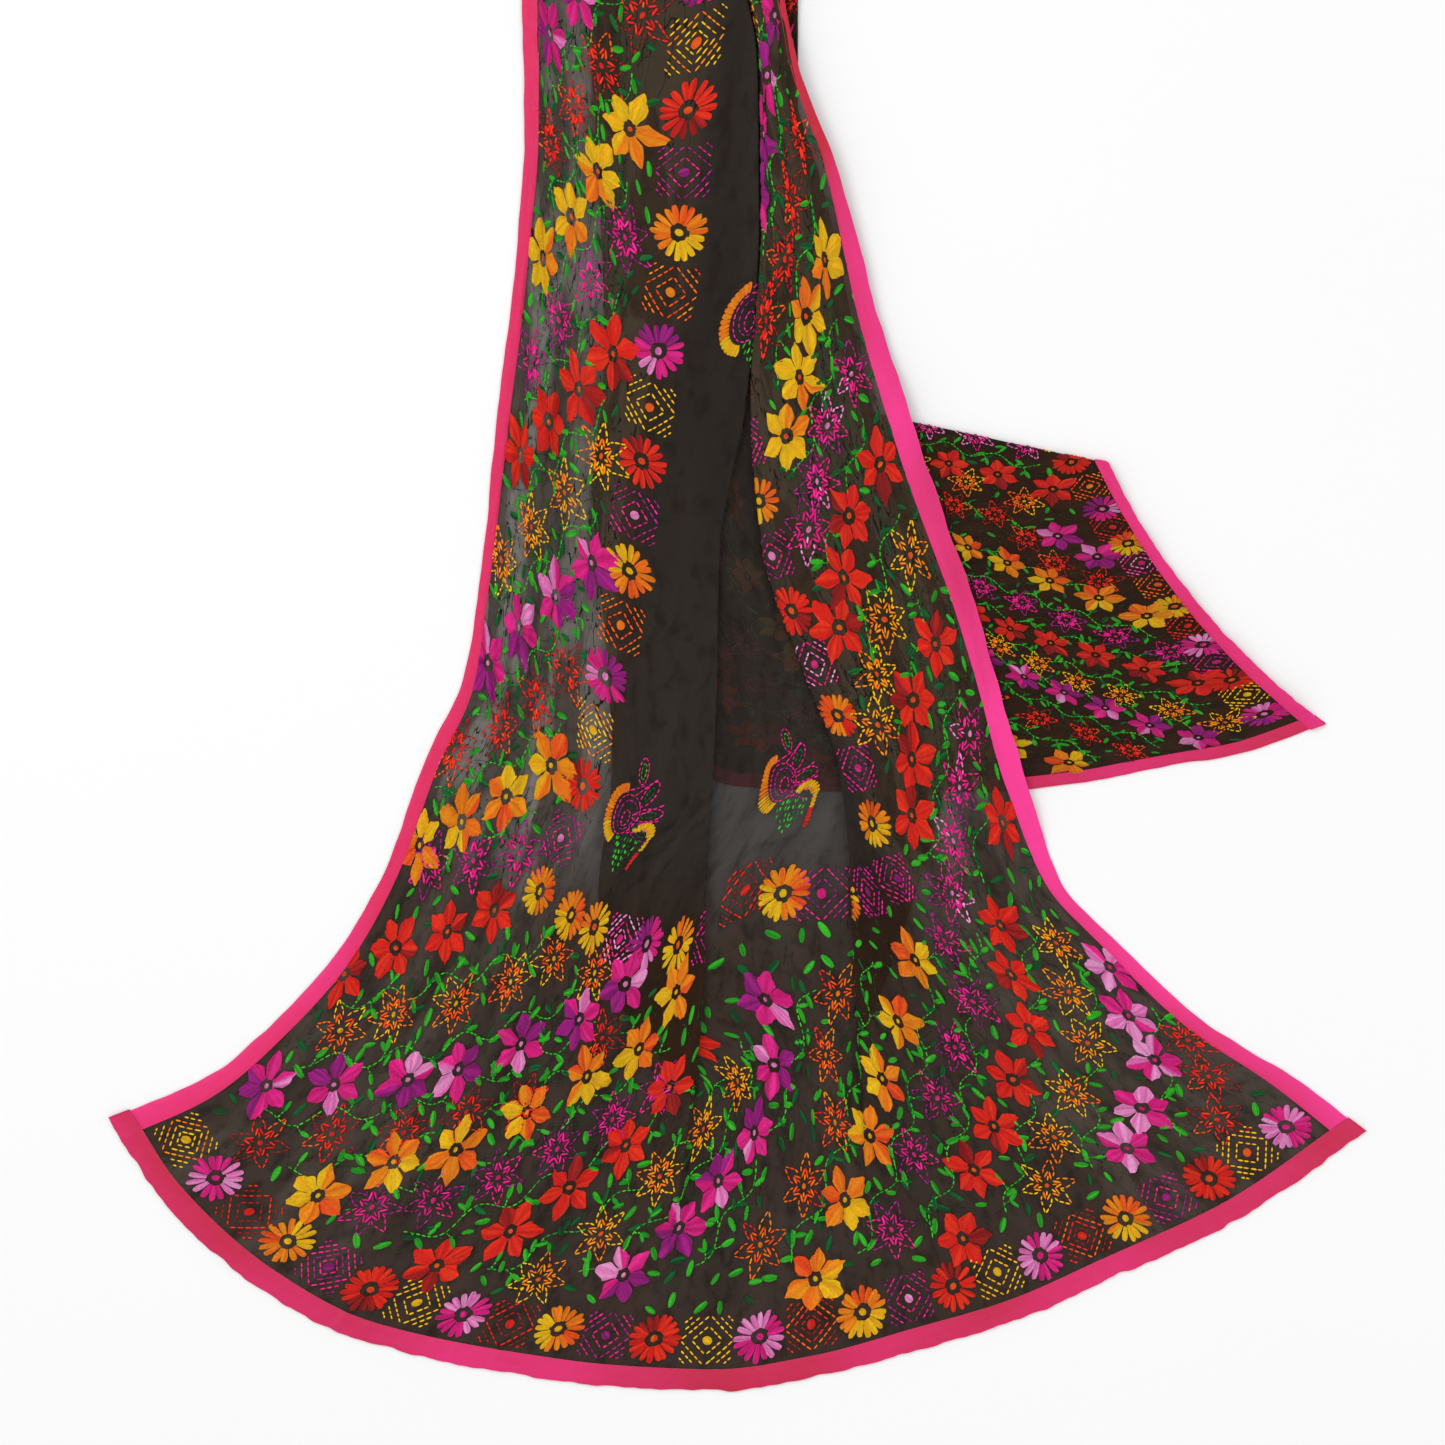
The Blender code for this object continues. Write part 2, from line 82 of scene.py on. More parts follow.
def softNoise(x, y, seed, size):
    # smooth waves in many directions, between about -1 and 1
    pick = np.random.RandomState(seed)
    total = np.zeros(np.broadcast(x, y).shape)
    for _ in range(9):
        turn, wave, shift = pick.uniform(0, 6.283), pick.uniform(0.6, 1.6), pick.uniform(0, 6.283)
        total = total + np.sin((x * math.cos(turn) + y * math.sin(turn)) * 6.283 / (size * wave) + shift)
    return total / 3.6


# How the front stretch is folded

fold = {"lipRadius": 1.4, "tuckSlope": 18.0, "wall": 1.0, "innerTurn": 0.5, "turnRamp": 90.0,
        "turnTail": 5.0, "clearance": 1.4, "floorGap": 0.05, "liftGrid": 5.0, "liftSpread": 28.0,
        "liftSoftening": 4, "liftFrom": (-460.0, -660.0), "liftTo": (460.0, 700.0),
        "liftSamples": (420, 90, 60, 6)}
layerRise = 2 * fold["lipRadius"]
stackHeight = fold["wall"] + 2 * layerRise
turnCentre = fold["innerTurn"] + stackHeight
turnBase = turnCentre + fold["innerTurn"]

frontTable = {
    "columns": "along leftX leftY rightX rightY dip lipLeft lipRight clothLeft clothRight "
               "tuckLeft tuckRight turn strip",
    "rows": [
        (0, -416, -444, 416, -453, 177, -64, 94, 409, 550, 0, 0, 12, 1.0),
        (66, -355, -419, 363, -414, 146, -54, 91, 402, 560, 0, 0, 60, 1.0),
        (132, -304, -378, 307, -379, 122, -41, 86, 395, 580, 0, 0, 110, 1.0),
        (198, -260, -329, 257, -334, 106, -31, 82, 385, 610, 0, 0, 150, 1.0),
        (264, -229, -271, 213, -286, 94, -24, 78, 372, 650, 52, 26, 180, 1.1),
        (330, -207, -209, 192, -224, 86, -22, 75, 345, 700, 70, 56, 180, 1.3),
        (396, -180, -149, 173, -160, 82, -18, 67, 262, 728, 66, 78, 180, 0.75),
        (462, -170, -84, 156, -98, 80, -15, 46, 243, 734, 72, 88, 180, 0.56),
        (561, -160, 11, 121, 0, 76, -13, 17, 228, 740, 86, 92, 180, 0.54),
        (660, -148, 110, 94, 84, 69, 5, 10, 232, 760, 98, 76, 180, 0.57),
        (759, -141, 209, 67, 179, 59, 13, 17, 220, 790, 108, 44, 180, 0.6),
        (846, -143, 295, 36, 265, 53, 12, 16, 212, 820, 110, 18, 180, 0.6),
        (957, -145, 404, 19, 378, 36, -9, -5, 177, 820, 108, 14, 180, 0.6),
        (1089, -146, 533, 26, 519, 13, -4, 0, 194, 815, 106, 18, 180, 0.6),
        (1188, -146, 625, 36, 625, 0, 2, 6, 205, 810, 104, 20, 180, 0.6),
    ],
}
frontTop = frontTable["rows"][-1][0]

# how far down the sections hang across their width: at the hem, above the end panel, higher up
hangTable = {
    "columns": "share hem panel length",
    "rows": [
        (0.0, 0.0, 0.0, 0.0), (0.04, 0.29, 0.17, 0.16), (0.12, 0.63, 0.48, 0.42),
        (0.20, 0.825, 0.70, 0.63), (0.32, 0.94, 0.96, 0.86), (0.40, 0.985, 1.0, 0.97),
        (0.48, 1.0, 0.90, 1.0), (0.56, 0.945, 0.70, 0.97), (0.64, 0.84, 0.63, 0.88),
        (0.72, 0.725, 0.59, 0.74), (0.80, 0.555, 0.47, 0.56), (0.90, 0.33, 0.27, 0.30),
        (1.0, 0.0, 0.0, 0.0),
    ],
    "panelAt": 320.0,
    "lengthAt": 600.0,
}

# soft ridges: side, how far across it, radius, and how steep at each station
ridgeTable = {
    "stations": (0.0, 190.0, 400.0, 640.0, 1150.0),
    "rows": [
        ("left", 0.12, 2.8, 12, 46, 72, 66, 40), ("left", 0.30, 3.0, 20, 64, 74, 66, 40),
        ("left", 0.50, 3.4, 30, 74, 60, 50, 15), ("left", 0.76, 3.6, 26, 80, 64, 8, 5),
        ("middle", 0.50, 3.4, 24, 72, 40, 5, 5),
        ("right", 0.22, 3.6, 26, 76, 60, 40, 8), ("right", 0.46, 3.2, 28, 66, 66, 60, 12),
        ("right", 0.72, 3.0, 18, 58, 66, 62, 12),
    ],
}


def frontPlan(row, count=161):
    share = np.linspace(0, 1, count)
    x = row.leftX + (row.rightX - row.leftX) * share
    chord = row.leftY + (row.rightY - row.leftY) * share
    rows = np.array(hangTable["rows"])
    hem, panel, length = (follow(share, rows[:, 0], rows[:, i]) for i in (1, 2, 3))
    toPanel = ease(row.along / hangTable["panelAt"])
    toLength = ease((row.along - hangTable["panelAt"]) / (hangTable["lengthAt"] - hangTable["panelAt"]))
    fall = (hem * (1 - toPanel) + panel * toPanel) * (1 - toLength) + length * toLength
    y = chord - row.dip * fall
    return x, y, runningSum(np.hypot(np.diff(x), np.diff(y)))


def ridgeShape(turn, radius, count):
    cloth = np.linspace(0, 4 * turn * radius, count)
    fine = np.linspace(0, 4 * turn * radius, 161)
    heading = np.interp(fine, [0, turn * radius, 3 * turn * radius, 4 * turn * radius], [0, turn, -turn, 0])
    middle, step = (heading[1:] + heading[:-1]) / 2, fine[1] - fine[0]
    run, rise = runningSum(np.cos(middle) * step), runningSum(np.sin(middle) * step)
    return cloth, np.interp(cloth, fine, run), np.interp(cloth, fine, rise)


def foldShape(turn, tuck, count):
    r = fold["lipRadius"]
    angles = np.linspace(0, turn, count)
    firstRun, firstDrop = r * np.sin(angles), r * (1 - np.cos(angles))
    secondRun = firstRun[-1] - tuck + r * (math.sin(turn) - np.sin(angles[::-1]))
    secondDrop = firstDrop[-1] + r * (np.cos(angles[::-1]) - math.cos(turn))
    cloth = np.concatenate([r * angles, r * (turn + angles) + tuck])
    return cloth, np.concatenate([firstRun, secondRun]), np.concatenate([firstDrop, secondDrop])


def acrossPart(part, along, cloth, start, end, counts, weight):
    rows = [r for r in ridgeTable["rows"] if r[0] == part]
    turns = [math.radians(float(follow(along, ridgeTable["stations"], r[3:]))) for r in rows]
    shapes = [ridgeShape(turn, r[2], counts["ridge"]) for r, turn in zip(rows, turns)]
    edges = [cloth[0]]
    for r, shape in zip(rows, shapes):
        mark = cloth[0] + r[1] * (cloth[1] - cloth[0])
        edges += [mark - shape[0][-1] / 2, mark + shape[0][-1] / 2]
    edges.append(cloth[1])
    sizes = [counts["run"]] * (len(rows) + 1)
    if part == "left":
        sizes[0] = counts["end"]
    elif part == "right":
        sizes[-1] = counts["end"]
    runs = [np.linspace(edges[2 * i], edges[2 * i + 1], size) for i, size in enumerate(sizes)]
    shown = [runningSum(np.diff(r) * weight((r[1:] + r[:-1]) / 2)) for r in runs]
    scale = (end - start - sum(s[1][-1] for s in shapes)) / sum(s[-1] for s in shown)
    outCloth, outRun, outRise, at = [], [], [], start
    for i, run in enumerate(runs):
        outCloth.append(run)
        outRun.append(at + scale * shown[i])
        outRise.append(np.zeros(len(run)))
        at = outRun[-1][-1]
        if i < len(shapes):
            length, advance, rise = shapes[i]
            outCloth.append(edges[2 * i + 1] + length[1:-1])
            outRun.append(at + advance[1:-1])
            outRise.append(rise[1:-1])
            at += advance[-1]
    return np.concatenate(outCloth), np.concatenate(outRun), np.concatenate(outRise)


def frontSection(along, counts):
    row = Section(frontTable, min(along, frontTop))
    x, y, lengths = frontPlan(row)
    leftLip, rightLip = np.interp(row.lipLeft, x, lengths), np.interp(row.lipRight, x, lengths)
    turn, slope = math.radians(row.turn), fold["tuckSlope"]
    drop = 2 * fold["lipRadius"] * (1 - math.cos(turn))
    foldCloth, foldRun, foldDrop = foldShape(turn, row.tuckLeft, counts["lip"])
    tuckCloth, tuckRun, tuckDrop = foldShape(turn, row.tuckRight, counts["lip"])
    strip, width = cut["strip"], cut["width"]
    clothL, runL, riseL = acrossPart("left", along, (0.0, row.clothLeft), 0.0, leftLip, counts,
                                     lambda c: np.where(c < strip, row.strip, 1.0))
    levelL = drop * ease((runL - (leftLip - row.tuckLeft - 2 * slope)) / slope)
    clothM, runM, riseM = acrossPart(
        "middle", along, (row.clothLeft + foldCloth[-1], row.clothRight - tuckCloth[-1]),
        leftLip + foldRun[-1], rightLip - tuckRun[-1], counts, lambda c: np.ones(len(c)))
    clothR, runR, riseR = acrossPart("right", along, (row.clothRight, width), rightLip, lengths[-1], counts,
                                     lambda c: np.where(c > width - strip, max(row.strip, 0.8), 1.0))
    levelR = drop * ease((rightLip + row.tuckRight + 2 * slope - runR) / slope)
    # the folds without their ends, the right one turned round
    ahead, turned = slice(1, -1), slice(-2, 0, -1)
    cloth = [clothL, row.clothLeft + foldCloth[ahead], clothM, row.clothRight - tuckCloth[turned], clothR]
    run = [runL, leftLip + foldRun[ahead], runM, rightLip - tuckRun[turned], runR]
    height = [levelL + riseL, drop - foldDrop[ahead], riseM, drop - tuckDrop[turned], levelR + riseR]
    return row, (x, y, lengths), np.concatenate(cloth), np.concatenate(run), np.concatenate(height)


# How the back stretch lies under it

backTable = {
    "columns": "along lowerX lowerY upperX upperY bow",
    "rows": [
        (0, -146, 619, 36, 619, 0), (90, -134, 530, 38, 545, 0), (200, -114, 415, 39, 455, 0),
        (310, -100, 295, 40, 370, 0), (420, -92, 170, 40, 290, 0), (520, -86, 50, 40, 225, 0),
        (610, -78, -60, 41, 170, 0), (690, -62, -168, 43, 120, 0), (770, 0, -226, 46, 80, 2),
        (830, 80, -229, 50, 55, 5), (890, 165, -229, 60, 38, 8), (950, 229, -223, 80, 25, 10),
        (1010, 261, -217, 108, 17, 11), (1070, 293, -211, 146, 9, 12), (1130, 332, -204, 192, -1, 13),
        (1190, 389, -184, 245, -12, 14),
    ],
    "cover": 0.90, "slope": 14.0, "start": 2.0, "bindingShown": 10.0, "gathered": 0.49,
}
# the soft waves of its open end: height, lengths across and along, and where they fade out
ripple = {"high": 2.2, "wide": 46.0, "long": 420.0, "edges": (20.0, 18.0), "from": 860.0, "over": 120.0}
backEnd = backTable["rows"][-1][0]


def backSection(along, shares, underCount, lipCount):
    row = Section(backTable, along)
    width = math.hypot(row.upperX - row.lowerX, row.upperY - row.lowerY)
    r = fold["lipRadius"]
    foldAt = width - r
    topRun = foldAt * shares
    underStart = width * (1 - backTable["cover"])
    level = layerRise * ease((topRun - (underStart - backTable["slope"] - 4)) / backTable["slope"])
    angles = np.linspace(0, math.pi, lipCount)[1:-1]
    run = np.concatenate([topRun, foldAt + r * np.sin(angles), np.linspace(foldAt, underStart, underCount)])
    height = np.concatenate([level, r * (1 + np.cos(angles)), np.zeros(underCount)])
    lower, upper = ripple["edges"]
    fade = (ease(topRun / lower) * ease((width - topRun) / upper)
            * ease((along - ripple["from"]) / ripple["over"]))
    wave = np.cos(2 * math.pi * (topRun / ripple["wide"] + along / ripple["long"]))
    height[:len(topRun)] += ripple["high"] * fade * (0.5 - 0.5 * wave)
    share = run / width
    bend = row.bow * 4 * share * (1 - share)
    ax, ay = (row.upperX - row.lowerX) / width, (row.upperY - row.lowerY) / width
    x, y = row.lowerX + ax * run - bend * ay, row.lowerY + ay * run + bend * ax
    return run, np.stack([x, y, height + fold["wall"] / 2], axis=1)


def liftMap():
    # over the floor: how high the front must lie to be clear of the back stretch
    low, high, step = np.array(fold["liftFrom"]), np.array(fold["liftTo"]), fold["liftGrid"]
    rows, shares, under, lip = fold["liftSamples"]
    grid = np.zeros(((high - low) / step).astype(int) + 1)
    for along in np.linspace(0, backEnd, rows):
        points = backSection(along, np.linspace(0, 1, shares), under, lip)[1]
        cells = np.round((points[:, :2] - low) / step).astype(int)
        np.maximum.at(grid, (cells[:, 0], cells[:, 1]), points[:, 2] + fold["wall"] / 2 + fold["clearance"])
    reach = int(round(fold["liftSpread"] / step))
    spread = grid.copy()
    for i in range(-reach, reach + 1):
        for j in range(-reach, reach + 1):
            if i * i + j * j <= reach * reach:
                spread = np.maximum(spread, np.roll(np.roll(grid, i, 0), j, 1))
    for _ in range(fold["liftSoftening"]):
        for axis in (0, 1):
            spread = (np.roll(spread, 1, axis) + spread + np.roll(spread, -1, axis)) / 3
    return low, spread


lift = liftMap()


def liftAt(x, y):
    low, grid = lift
    gx = np.clip((x - low[0]) / fold["liftGrid"], 0, grid.shape[0] - 1.001)
    gy = np.clip((y - low[1]) / fold["liftGrid"], 0, grid.shape[1] - 1.001)
    i, j = gx.astype(int), gy.astype(int)
    fx, fy = gx - i, gy - j
    return ((grid[i, j] * (1 - fx) + grid[i + 1, j] * fx) * (1 - fy)
            + (grid[i, j + 1] * (1 - fx) + grid[i + 1, j + 1] * fx) * fy)


# the cloth's own small puckers: where they are deep, and each kind's seed, stretch and size
crumples = {"strip": 150.0, "stripFade": 30.0, "panel": 300.0, "panelFade": 40.0, "edge": 30.0,
            "ends": (40, 60), "fine": (5, 1.6, 0.45, 26.0), "broad": (9, 1.0, 0.6, 95.0),
            "height": 0.55, "deepest": -0.25, "fineDepth": (0.35, 0.5), "broadDepth": (0.5, 1.1)}


def crumple(u, v):
    # deeper in the strips drawn up by the stitching, and broader over the end panel
    strip = 1 - ease((np.minimum(u, cut["width"] - u) - crumples["strip"]) / crumples["stripFade"])
    panel = 1 - ease((v - crumples["panel"]) / crumples["panelFade"])
    fine, broad = (softNoise(u * wide, v * long, seed, size)
                   for seed, wide, long, size in (crumples["fine"], crumples["broad"]))
    high, (least, more), (broadLeast, broadMore) = (
        crumples[key] for key in ("height", "fineDepth", "broadDepth"))
    return (least + more * strip) * fine * high + (broadLeast + broadMore * panel) * broad * high


def turnLength():
    return math.pi * (fold["innerTurn"] + stackHeight / 2)


def frontPoints(along, counts):
    row, (x, y, lengths), cloth, run, height = frontSection(along, counts)
    px, py = np.interp(run, lengths, x), np.interp(run, lengths, y)
    start, end = crumples["ends"]
    free = (ease(np.minimum(cloth, cut["width"] - cloth) / crumples["edge"]) * ease(along / start)
            * ease((frontTop + start - along) / end))
    height = height + free * np.maximum(crumple(cloth, along + 0 * cloth), crumples["deepest"])
    height = height + fold["wall"] / 2
    ramp = ease((along - (frontTop - fold["turnRamp"])) / fold["turnRamp"])
    pz = liftAt(px, py) * (1 - ramp) + turnBase * ramp + height
    if along > frontTop:
        arc = min((along - frontTop) / turnLength(), 1.0) * math.pi
        reach = fold["innerTurn"] + height
        py = row.leftY + reach * math.sin(arc) - max(along - frontTop - turnLength(), 0.0)
        pz = np.maximum(turnCentre + reach * math.cos(arc), fold["floorGap"])
    return cloth, np.stack([px, py, pz], axis=1)


# Surfaces of points, and places on them

def normalsOf(points):
    normal = np.cross(np.gradient(points, axis=1), np.gradient(points, axis=0))
    return normal / np.maximum(np.linalg.norm(normal, axis=2, keepdims=True), 1e-9)


class Surface:
    # points over the cloth: one row for each v, and each row's own places across
    def __init__(self, vs, us, points, facing=1):
        self.vs, self.us, self.points = np.asarray(vs), np.asarray(us), np.asarray(points)
        self.facing = facing
        self.normals = normalsOf(self.points) * facing

    def at(self, u, v, out=0.0):
        u, v = np.asarray(u, float).ravel(), np.asarray(v, float).ravel()
        out = np.broadcast_to(np.asarray(out, float).ravel() if np.ndim(out) else out, u.shape)
        place, normal = np.zeros((len(u), 3)), np.zeros((len(u), 3))
        row = np.clip(np.searchsorted(self.vs, v) - 1, 0, len(self.vs) - 2)
        share = np.clip((v - self.vs[row]) / (self.vs[row + 1] - self.vs[row]), 0, 1)
        for r in np.unique(row):
            here = row == r
            for near, amount in ((r, 1 - share[here]), (r + 1, share[here])):
                across = self.us[near]
                for axis in range(3):
                    for found, known in ((place, self.points), (normal, self.normals)):
                        found[here, axis] += amount * np.interp(u[here], across, known[near, :, axis])
        normal /= np.maximum(np.linalg.norm(normal, axis=1, keepdims=True), 1e-9)
        return place + normal * out[:, None], normal


def toMetres(points):
    return (np.asarray(points, float) - np.array([0.0, cut["centreY"], 0.0])) * mm


def addMesh(name, points, faces, material, uv=None, colours=None):
    mesh = bpy.data.meshes.new(name)
    faces = np.asarray(faces, np.int32)
    sides = faces.shape[1]
    mesh.vertices.add(len(points))
    mesh.vertices.foreach_set("co", toMetres(points).astype(np.float32).ravel())
    mesh.loops.add(faces.size)
    mesh.loops.foreach_set("vertex_index", faces.ravel())
    mesh.polygons.add(len(faces))
    mesh.polygons.foreach_set("loop_start", np.arange(0, faces.size, sides, dtype=np.int32))
    mesh.update(calc_edges=True)
    if uv is not None:
        layer = mesh.uv_layers.new(name="cloth")
        layer.data.foreach_set("uv", np.asarray(uv, np.float32)[faces.ravel()].ravel())
    if colours is not None:
        layer = mesh.color_attributes.new("thread", "FLOAT_COLOR", "POINT")
        layer.data.foreach_set("color", np.concatenate(
            [colours, np.ones((len(points), 1))], axis=1).astype(np.float32).ravel())
    mesh.validate()
    mesh.shade_smooth()
    mesh.materials.append(material)
    piece = bpy.data.objects.new(name, mesh)
    bpy.context.scene.collection.objects.link(piece)
    return piece


def gridFaces(rows, columns, start=0):
    r, c = np.meshgrid(np.arange(rows - 1), np.arange(columns - 1), indexing="ij")
    a = (start + r * columns + c).ravel()
    return np.stack([a, a + 1, a + columns + 1, a + columns], axis=1)


# Nodes and materials

def feed(tree, socket, value):
    value = getattr(value, "socket", value)
    if isinstance(value, bpy.types.NodeSocket):
        tree.links.new(value, socket)
    else:
        socket.default_value = value


def addNode(tree, kind, settings=None, sockets=None):
    # any node: its settings first, then the values or links of its sockets
    node = tree.nodes.new(kind)
    for key, value in (settings or {}).items():
        setattr(node, key, value)
    for key, value in (sockets or {}).items():
        feed(tree, node.inputs[key], value)
    return node


class Wire:
    # a socket that takes part in sums
    def __init__(self, finish, socket):
        self.finish, self.socket = finish, socket

    def __add__(self, other): return self.finish.maths("ADD", self, other)
    def __radd__(self, other): return self.finish.maths("ADD", other, self)
    def __sub__(self, other): return self.finish.maths("SUBTRACT", self, other)
    def __rsub__(self, other): return self.finish.maths("SUBTRACT", other, self)
    def __mul__(self, other): return self.finish.maths("MULTIPLY", self, other)
    def __rmul__(self, other): return self.finish.maths("MULTIPLY", other, self)


class Finish:
    # a material, and the nodes that it is made with
    def __init__(self, name, **fixed):
        self.material = bpy.data.materials.new(name)
        self.material.use_nodes = True
        self.tree = self.material.node_tree
        self.shader = self.tree.nodes["Principled BSDF"]
        for socket, value in fixed.items():
            self.set(socket.replace("_", " "), value)

    def add(self, kind, settings=None, sockets=None, out=0):
        return Wire(self, addNode(self.tree, kind, settings, sockets).outputs[out])

    def set(self, name, value):
        feed(self.tree, self.shader.inputs[name], value)

    def maths(self, operation, first, second=0.0):
        return self.add("ShaderNodeMath", {"operation": operation}, {0: first, 1: second})

    def mix(self, amount, first, second, blend="MIX"):
        # colour sockets of the Mix node are its seventh and eighth
        return self.add("ShaderNodeMix", {"data_type": "RGBA", "blend_type": blend},
                        {0: amount, 6: first, 7: second}, out=2)

    def between(self, value, low, high, first, last):
        # first where the value is at low, last where it is at high
        return self.add("ShaderNodeMapRange", {}, {0: value, 1: low, 2: high, 3: first, 4: last})

    def noise(self, vector, scale, detail=2.0, rough=0.5):
        return self.add("ShaderNodeTexNoise", {}, {"Vector": vector, "Scale": scale, "Detail": detail,
                                                   "Roughness": rough})

    def grain(self, uv, wide, long, *rest):
        # a noise drawn out over the cloth
        stretched = self.add("ShaderNodeMapping", {}, {"Vector": uv, "Scale": (wide, long, 1.0)})
        return self.noise(stretched, *rest)

    def clothPlace(self):
        # the cloth's own map in tenths of a metre, and its two parts: across or along, and up
        uv = self.add("ShaderNodeUVMap", {"uv_map": "cloth"})
        return uv, *(self.add("ShaderNodeSeparateXYZ", {}, {0: uv}, part) for part in (0, 1))

    def bump(self, height, distance, strength=1.0, under=None):
        sockets = {"Height": height, "Distance": distance, "Strength": strength}
        if under is not None:
            sockets["Normal"] = under
        return self.add("ShaderNodeBump", {}, sockets)


def linear(r, g, b):
    # a colour from its 0 to 255 screen values
    return tuple((c / 255 / 12.92) if c <= 10 else ((c / 255 + 0.055) / 1.055) ** 2.4 for c in (r, g, b))


# two of the voile's colours are painted light: a near-black painted shade for the hollows and creases, and
# a lighter tone painted where the bright floor shows through the parted gathers
# stripFrom is measured from the middle of the cloth, panelTo from its hem, in tenths of a metre
voileLook = {
    "paintedShade": linear(20, 14, 9), "warp": linear(34, 28, 23), "weft": linear(54, 46, 40),
    "brownWarp": linear(27, 13, 4), "brownWeft": linear(55, 31, 11), "paintedThroughColour": linear(73, 61, 47),
    "middle": 4.6, "stripFrom": (2.72, 2.95), "panelTo": (2.9, 3.5), "panelPull": 0.85,
    "opens": (0.47, 0.54, 0.15), "creaseLine": (0.003, 0.012), "crinkleShade": (0.34, 0.5, 0.6),
    "paintedLightThrough": 2.6, "creaseShade": 2.2, "slub": 0.05, "cloud": 0.06, "gathered": 0.21, "crumbs": 0.3,
    "crease": 0.5, "plain": 0.04, "deep": 0.08, "panel": 0.03,
}
# each noise of the voile: its stretch across and along, scale, detail and roughness
voileGrain = {
    "weft": (2.0, 90.0, 3.0, 3.0, 0.6), "warp": (90.0, 2.4, 3.0, 3.0, 0.6),
    "cloud": (1.0, 0.6, 2.6, 3.0, 0.6), "crinkle": (7.0, 4.0, 1.5, 3.0, 0.6),
    "puckers": (6.5, 1.5, 1.5, 2.5, 0.55), "folds": (2.0, 0.42, 1.5, 1.5, 0.5),
    "crumbs": (9.0, 16.0, 1.5, 3.0, 0.6), "paintedSheen": (3.2, 0.25, 1.5, 2.0, 0.5),
}


def makeVoile(name, gathered, cover):
    look = voileLook
    f = Finish(name, Roughness=0.78, Specular_IOR_Level=0.14, Sheen_Weight=0.05, Sheen_Roughness=0.5)
    uv, across, up = f.clothPlace()
    weft, warp, cloud, crinkle, puckers, folds, crumbs, paintedSheen = (
        f.grain(uv, *kind) for kind in voileGrain.values())
    strip = f.between(f.maths("ABSOLUTE", across - look["middle"]), *look["stripFrom"], 0.0, 1.0)
    panel = f.between(up, *look["panelTo"], 1.0, 0.0)
    worked = f.maths("MAXIMUM", strip, panel)
    threads = weft * 0.5 + warp * 0.5
    # the gathered strips let light through where their folds part, and there their colour is painted
    # lighter as well; along each crease they carry painted shade
    gather = strip * (1 - look["panelPull"] * panel) * f.between(folds, *look["opens"], 1.0) * gathered
    crease = f.between(f.maths("ABSOLUTE", puckers - 0.5), *look["creaseLine"], 1.0, 0.0)
    deep = f.between(crinkle, *look["crinkleShade"], 0.0)
    # painted sheen: long lighter streaks, standing in for light catching the slopes of soft folds, are
    # mixed into the colour
    amount = threads * 0.5 + paintedSheen * 1.3 + cloud * 0.3 - 0.55
    plain, brown = (f.mix(amount, *((*look[shade], 1) for shade in pair))
                    for pair in (("warp", "weft"), ("brownWarp", "brownWeft")))
    # painted light: where the gathers part, the colour is lifted toward a lighter tone that stands in for
    # the bright floor seen through the cloth
    paintedLightThrough = f.mix(gather * look["paintedLightThrough"], brown, (*look["paintedThroughColour"], 1))
    tone = f.mix(worked, plain, paintedLightThrough) if gathered else brown
    # painted shade: the hollows of the crinkle and the creases of the gathers are darkened toward the
    # painted shade colour
    shade = deep * (1 - gather) + crease * gather * look["creaseShade"]
    f.set("Base Color", f.mix(shade, tone, (*look["paintedShade"], 1)))
    f.set("Alpha", cover + look["slub"] * 2.0 * (threads - 0.5) - look["crumbs"] * gather * (crumbs - 0.5)
          - look["cloud"] * 2.0 * (cloud - 0.5) - look["gathered"] * gather
          + look["crease"] * crease * gather + look["deep"] * deep + look["panel"] * panel
          - look["plain"] * (1 - worked))
    f.set("Normal", f.bump(crinkle * (1 - gather) + (puckers * 2.0 + crumbs * 0.3) * gather, 0.0024, 0.9,
                           f.bump(threads, 0.0003, 0.6)))
    return f.material


# each binding: two shades of its cloth, how much of the light one, and where along it darkens
bindingLook = {"left": (linear(222, 34, 94), linear(246, 50, 140), 0.0, 1.6, 2.8),
               "right": (linear(194, 26, 54), linear(248, 52, 148), 0.3, 6.5, 7.9),
               "hem": (linear(188, 24, 50), linear(232, 40, 122), 0.0, 20.0, 30.0),
               "under": (linear(196, 24, 62), linear(218, 36, 112), 0.0, 20.0, 30.0),
               "end": (linear(208, 28, 86), linear(232, 40, 130), 0.2, 20.0, 30.0)}
# each noise of the satin: its stretch along and across, scale and detail
satinGrain = {"patch": (0.5, 1.0, 1.0, 2.0), "weave": (70.0, 70.0, 3.0, 2.0), "ribs": (1.2, 60.0, 2.0, 2.0),
              "pull": (6.0, 3.0, 1.4, 3.0)}


def makeSatin(name, deep, light, lift, fadeFrom, fadeTo):
    f = Finish(name, Roughness=0.5, Specular_IOR_Level=0.3, Sheen_Weight=0.12, Sheen_Roughness=0.4)
    uv, length, _ = f.clothPlace()
    patch, weave, ribs, pull = (f.grain(uv, *kind) for kind in satinGrain.values())
    fade = f.between(length, fadeFrom, fadeTo, -lift, 0.8)
    body = f.mix(patch * 2.6 - 0.85 - fade, (*deep, 1), (*light, 1))
    # painted shade: the low places of the weave and ribs are darkened toward a darker copy of the deep pink
    shade = f.between(weave * 0.5 + ribs * 0.5, 0.35, 0.6, 0.16, 0.0)
    f.set("Base Color", f.mix(shade, body, (*(c * 0.45 for c in deep), 1)))
    f.set("Normal", f.bump(pull, 0.0024, 0.8, f.bump(ribs, 0.0003, 0.5)))
    f.set("Roughness", 0.42 + 0.18 * weave)
    return f.material


flossLook = {"fibre": 900.0, "groove": (0.32, 0.5, 0.5), "shadow": (0.004, 0.003, 0.003, 1.0),
             "relief": 0.0009}


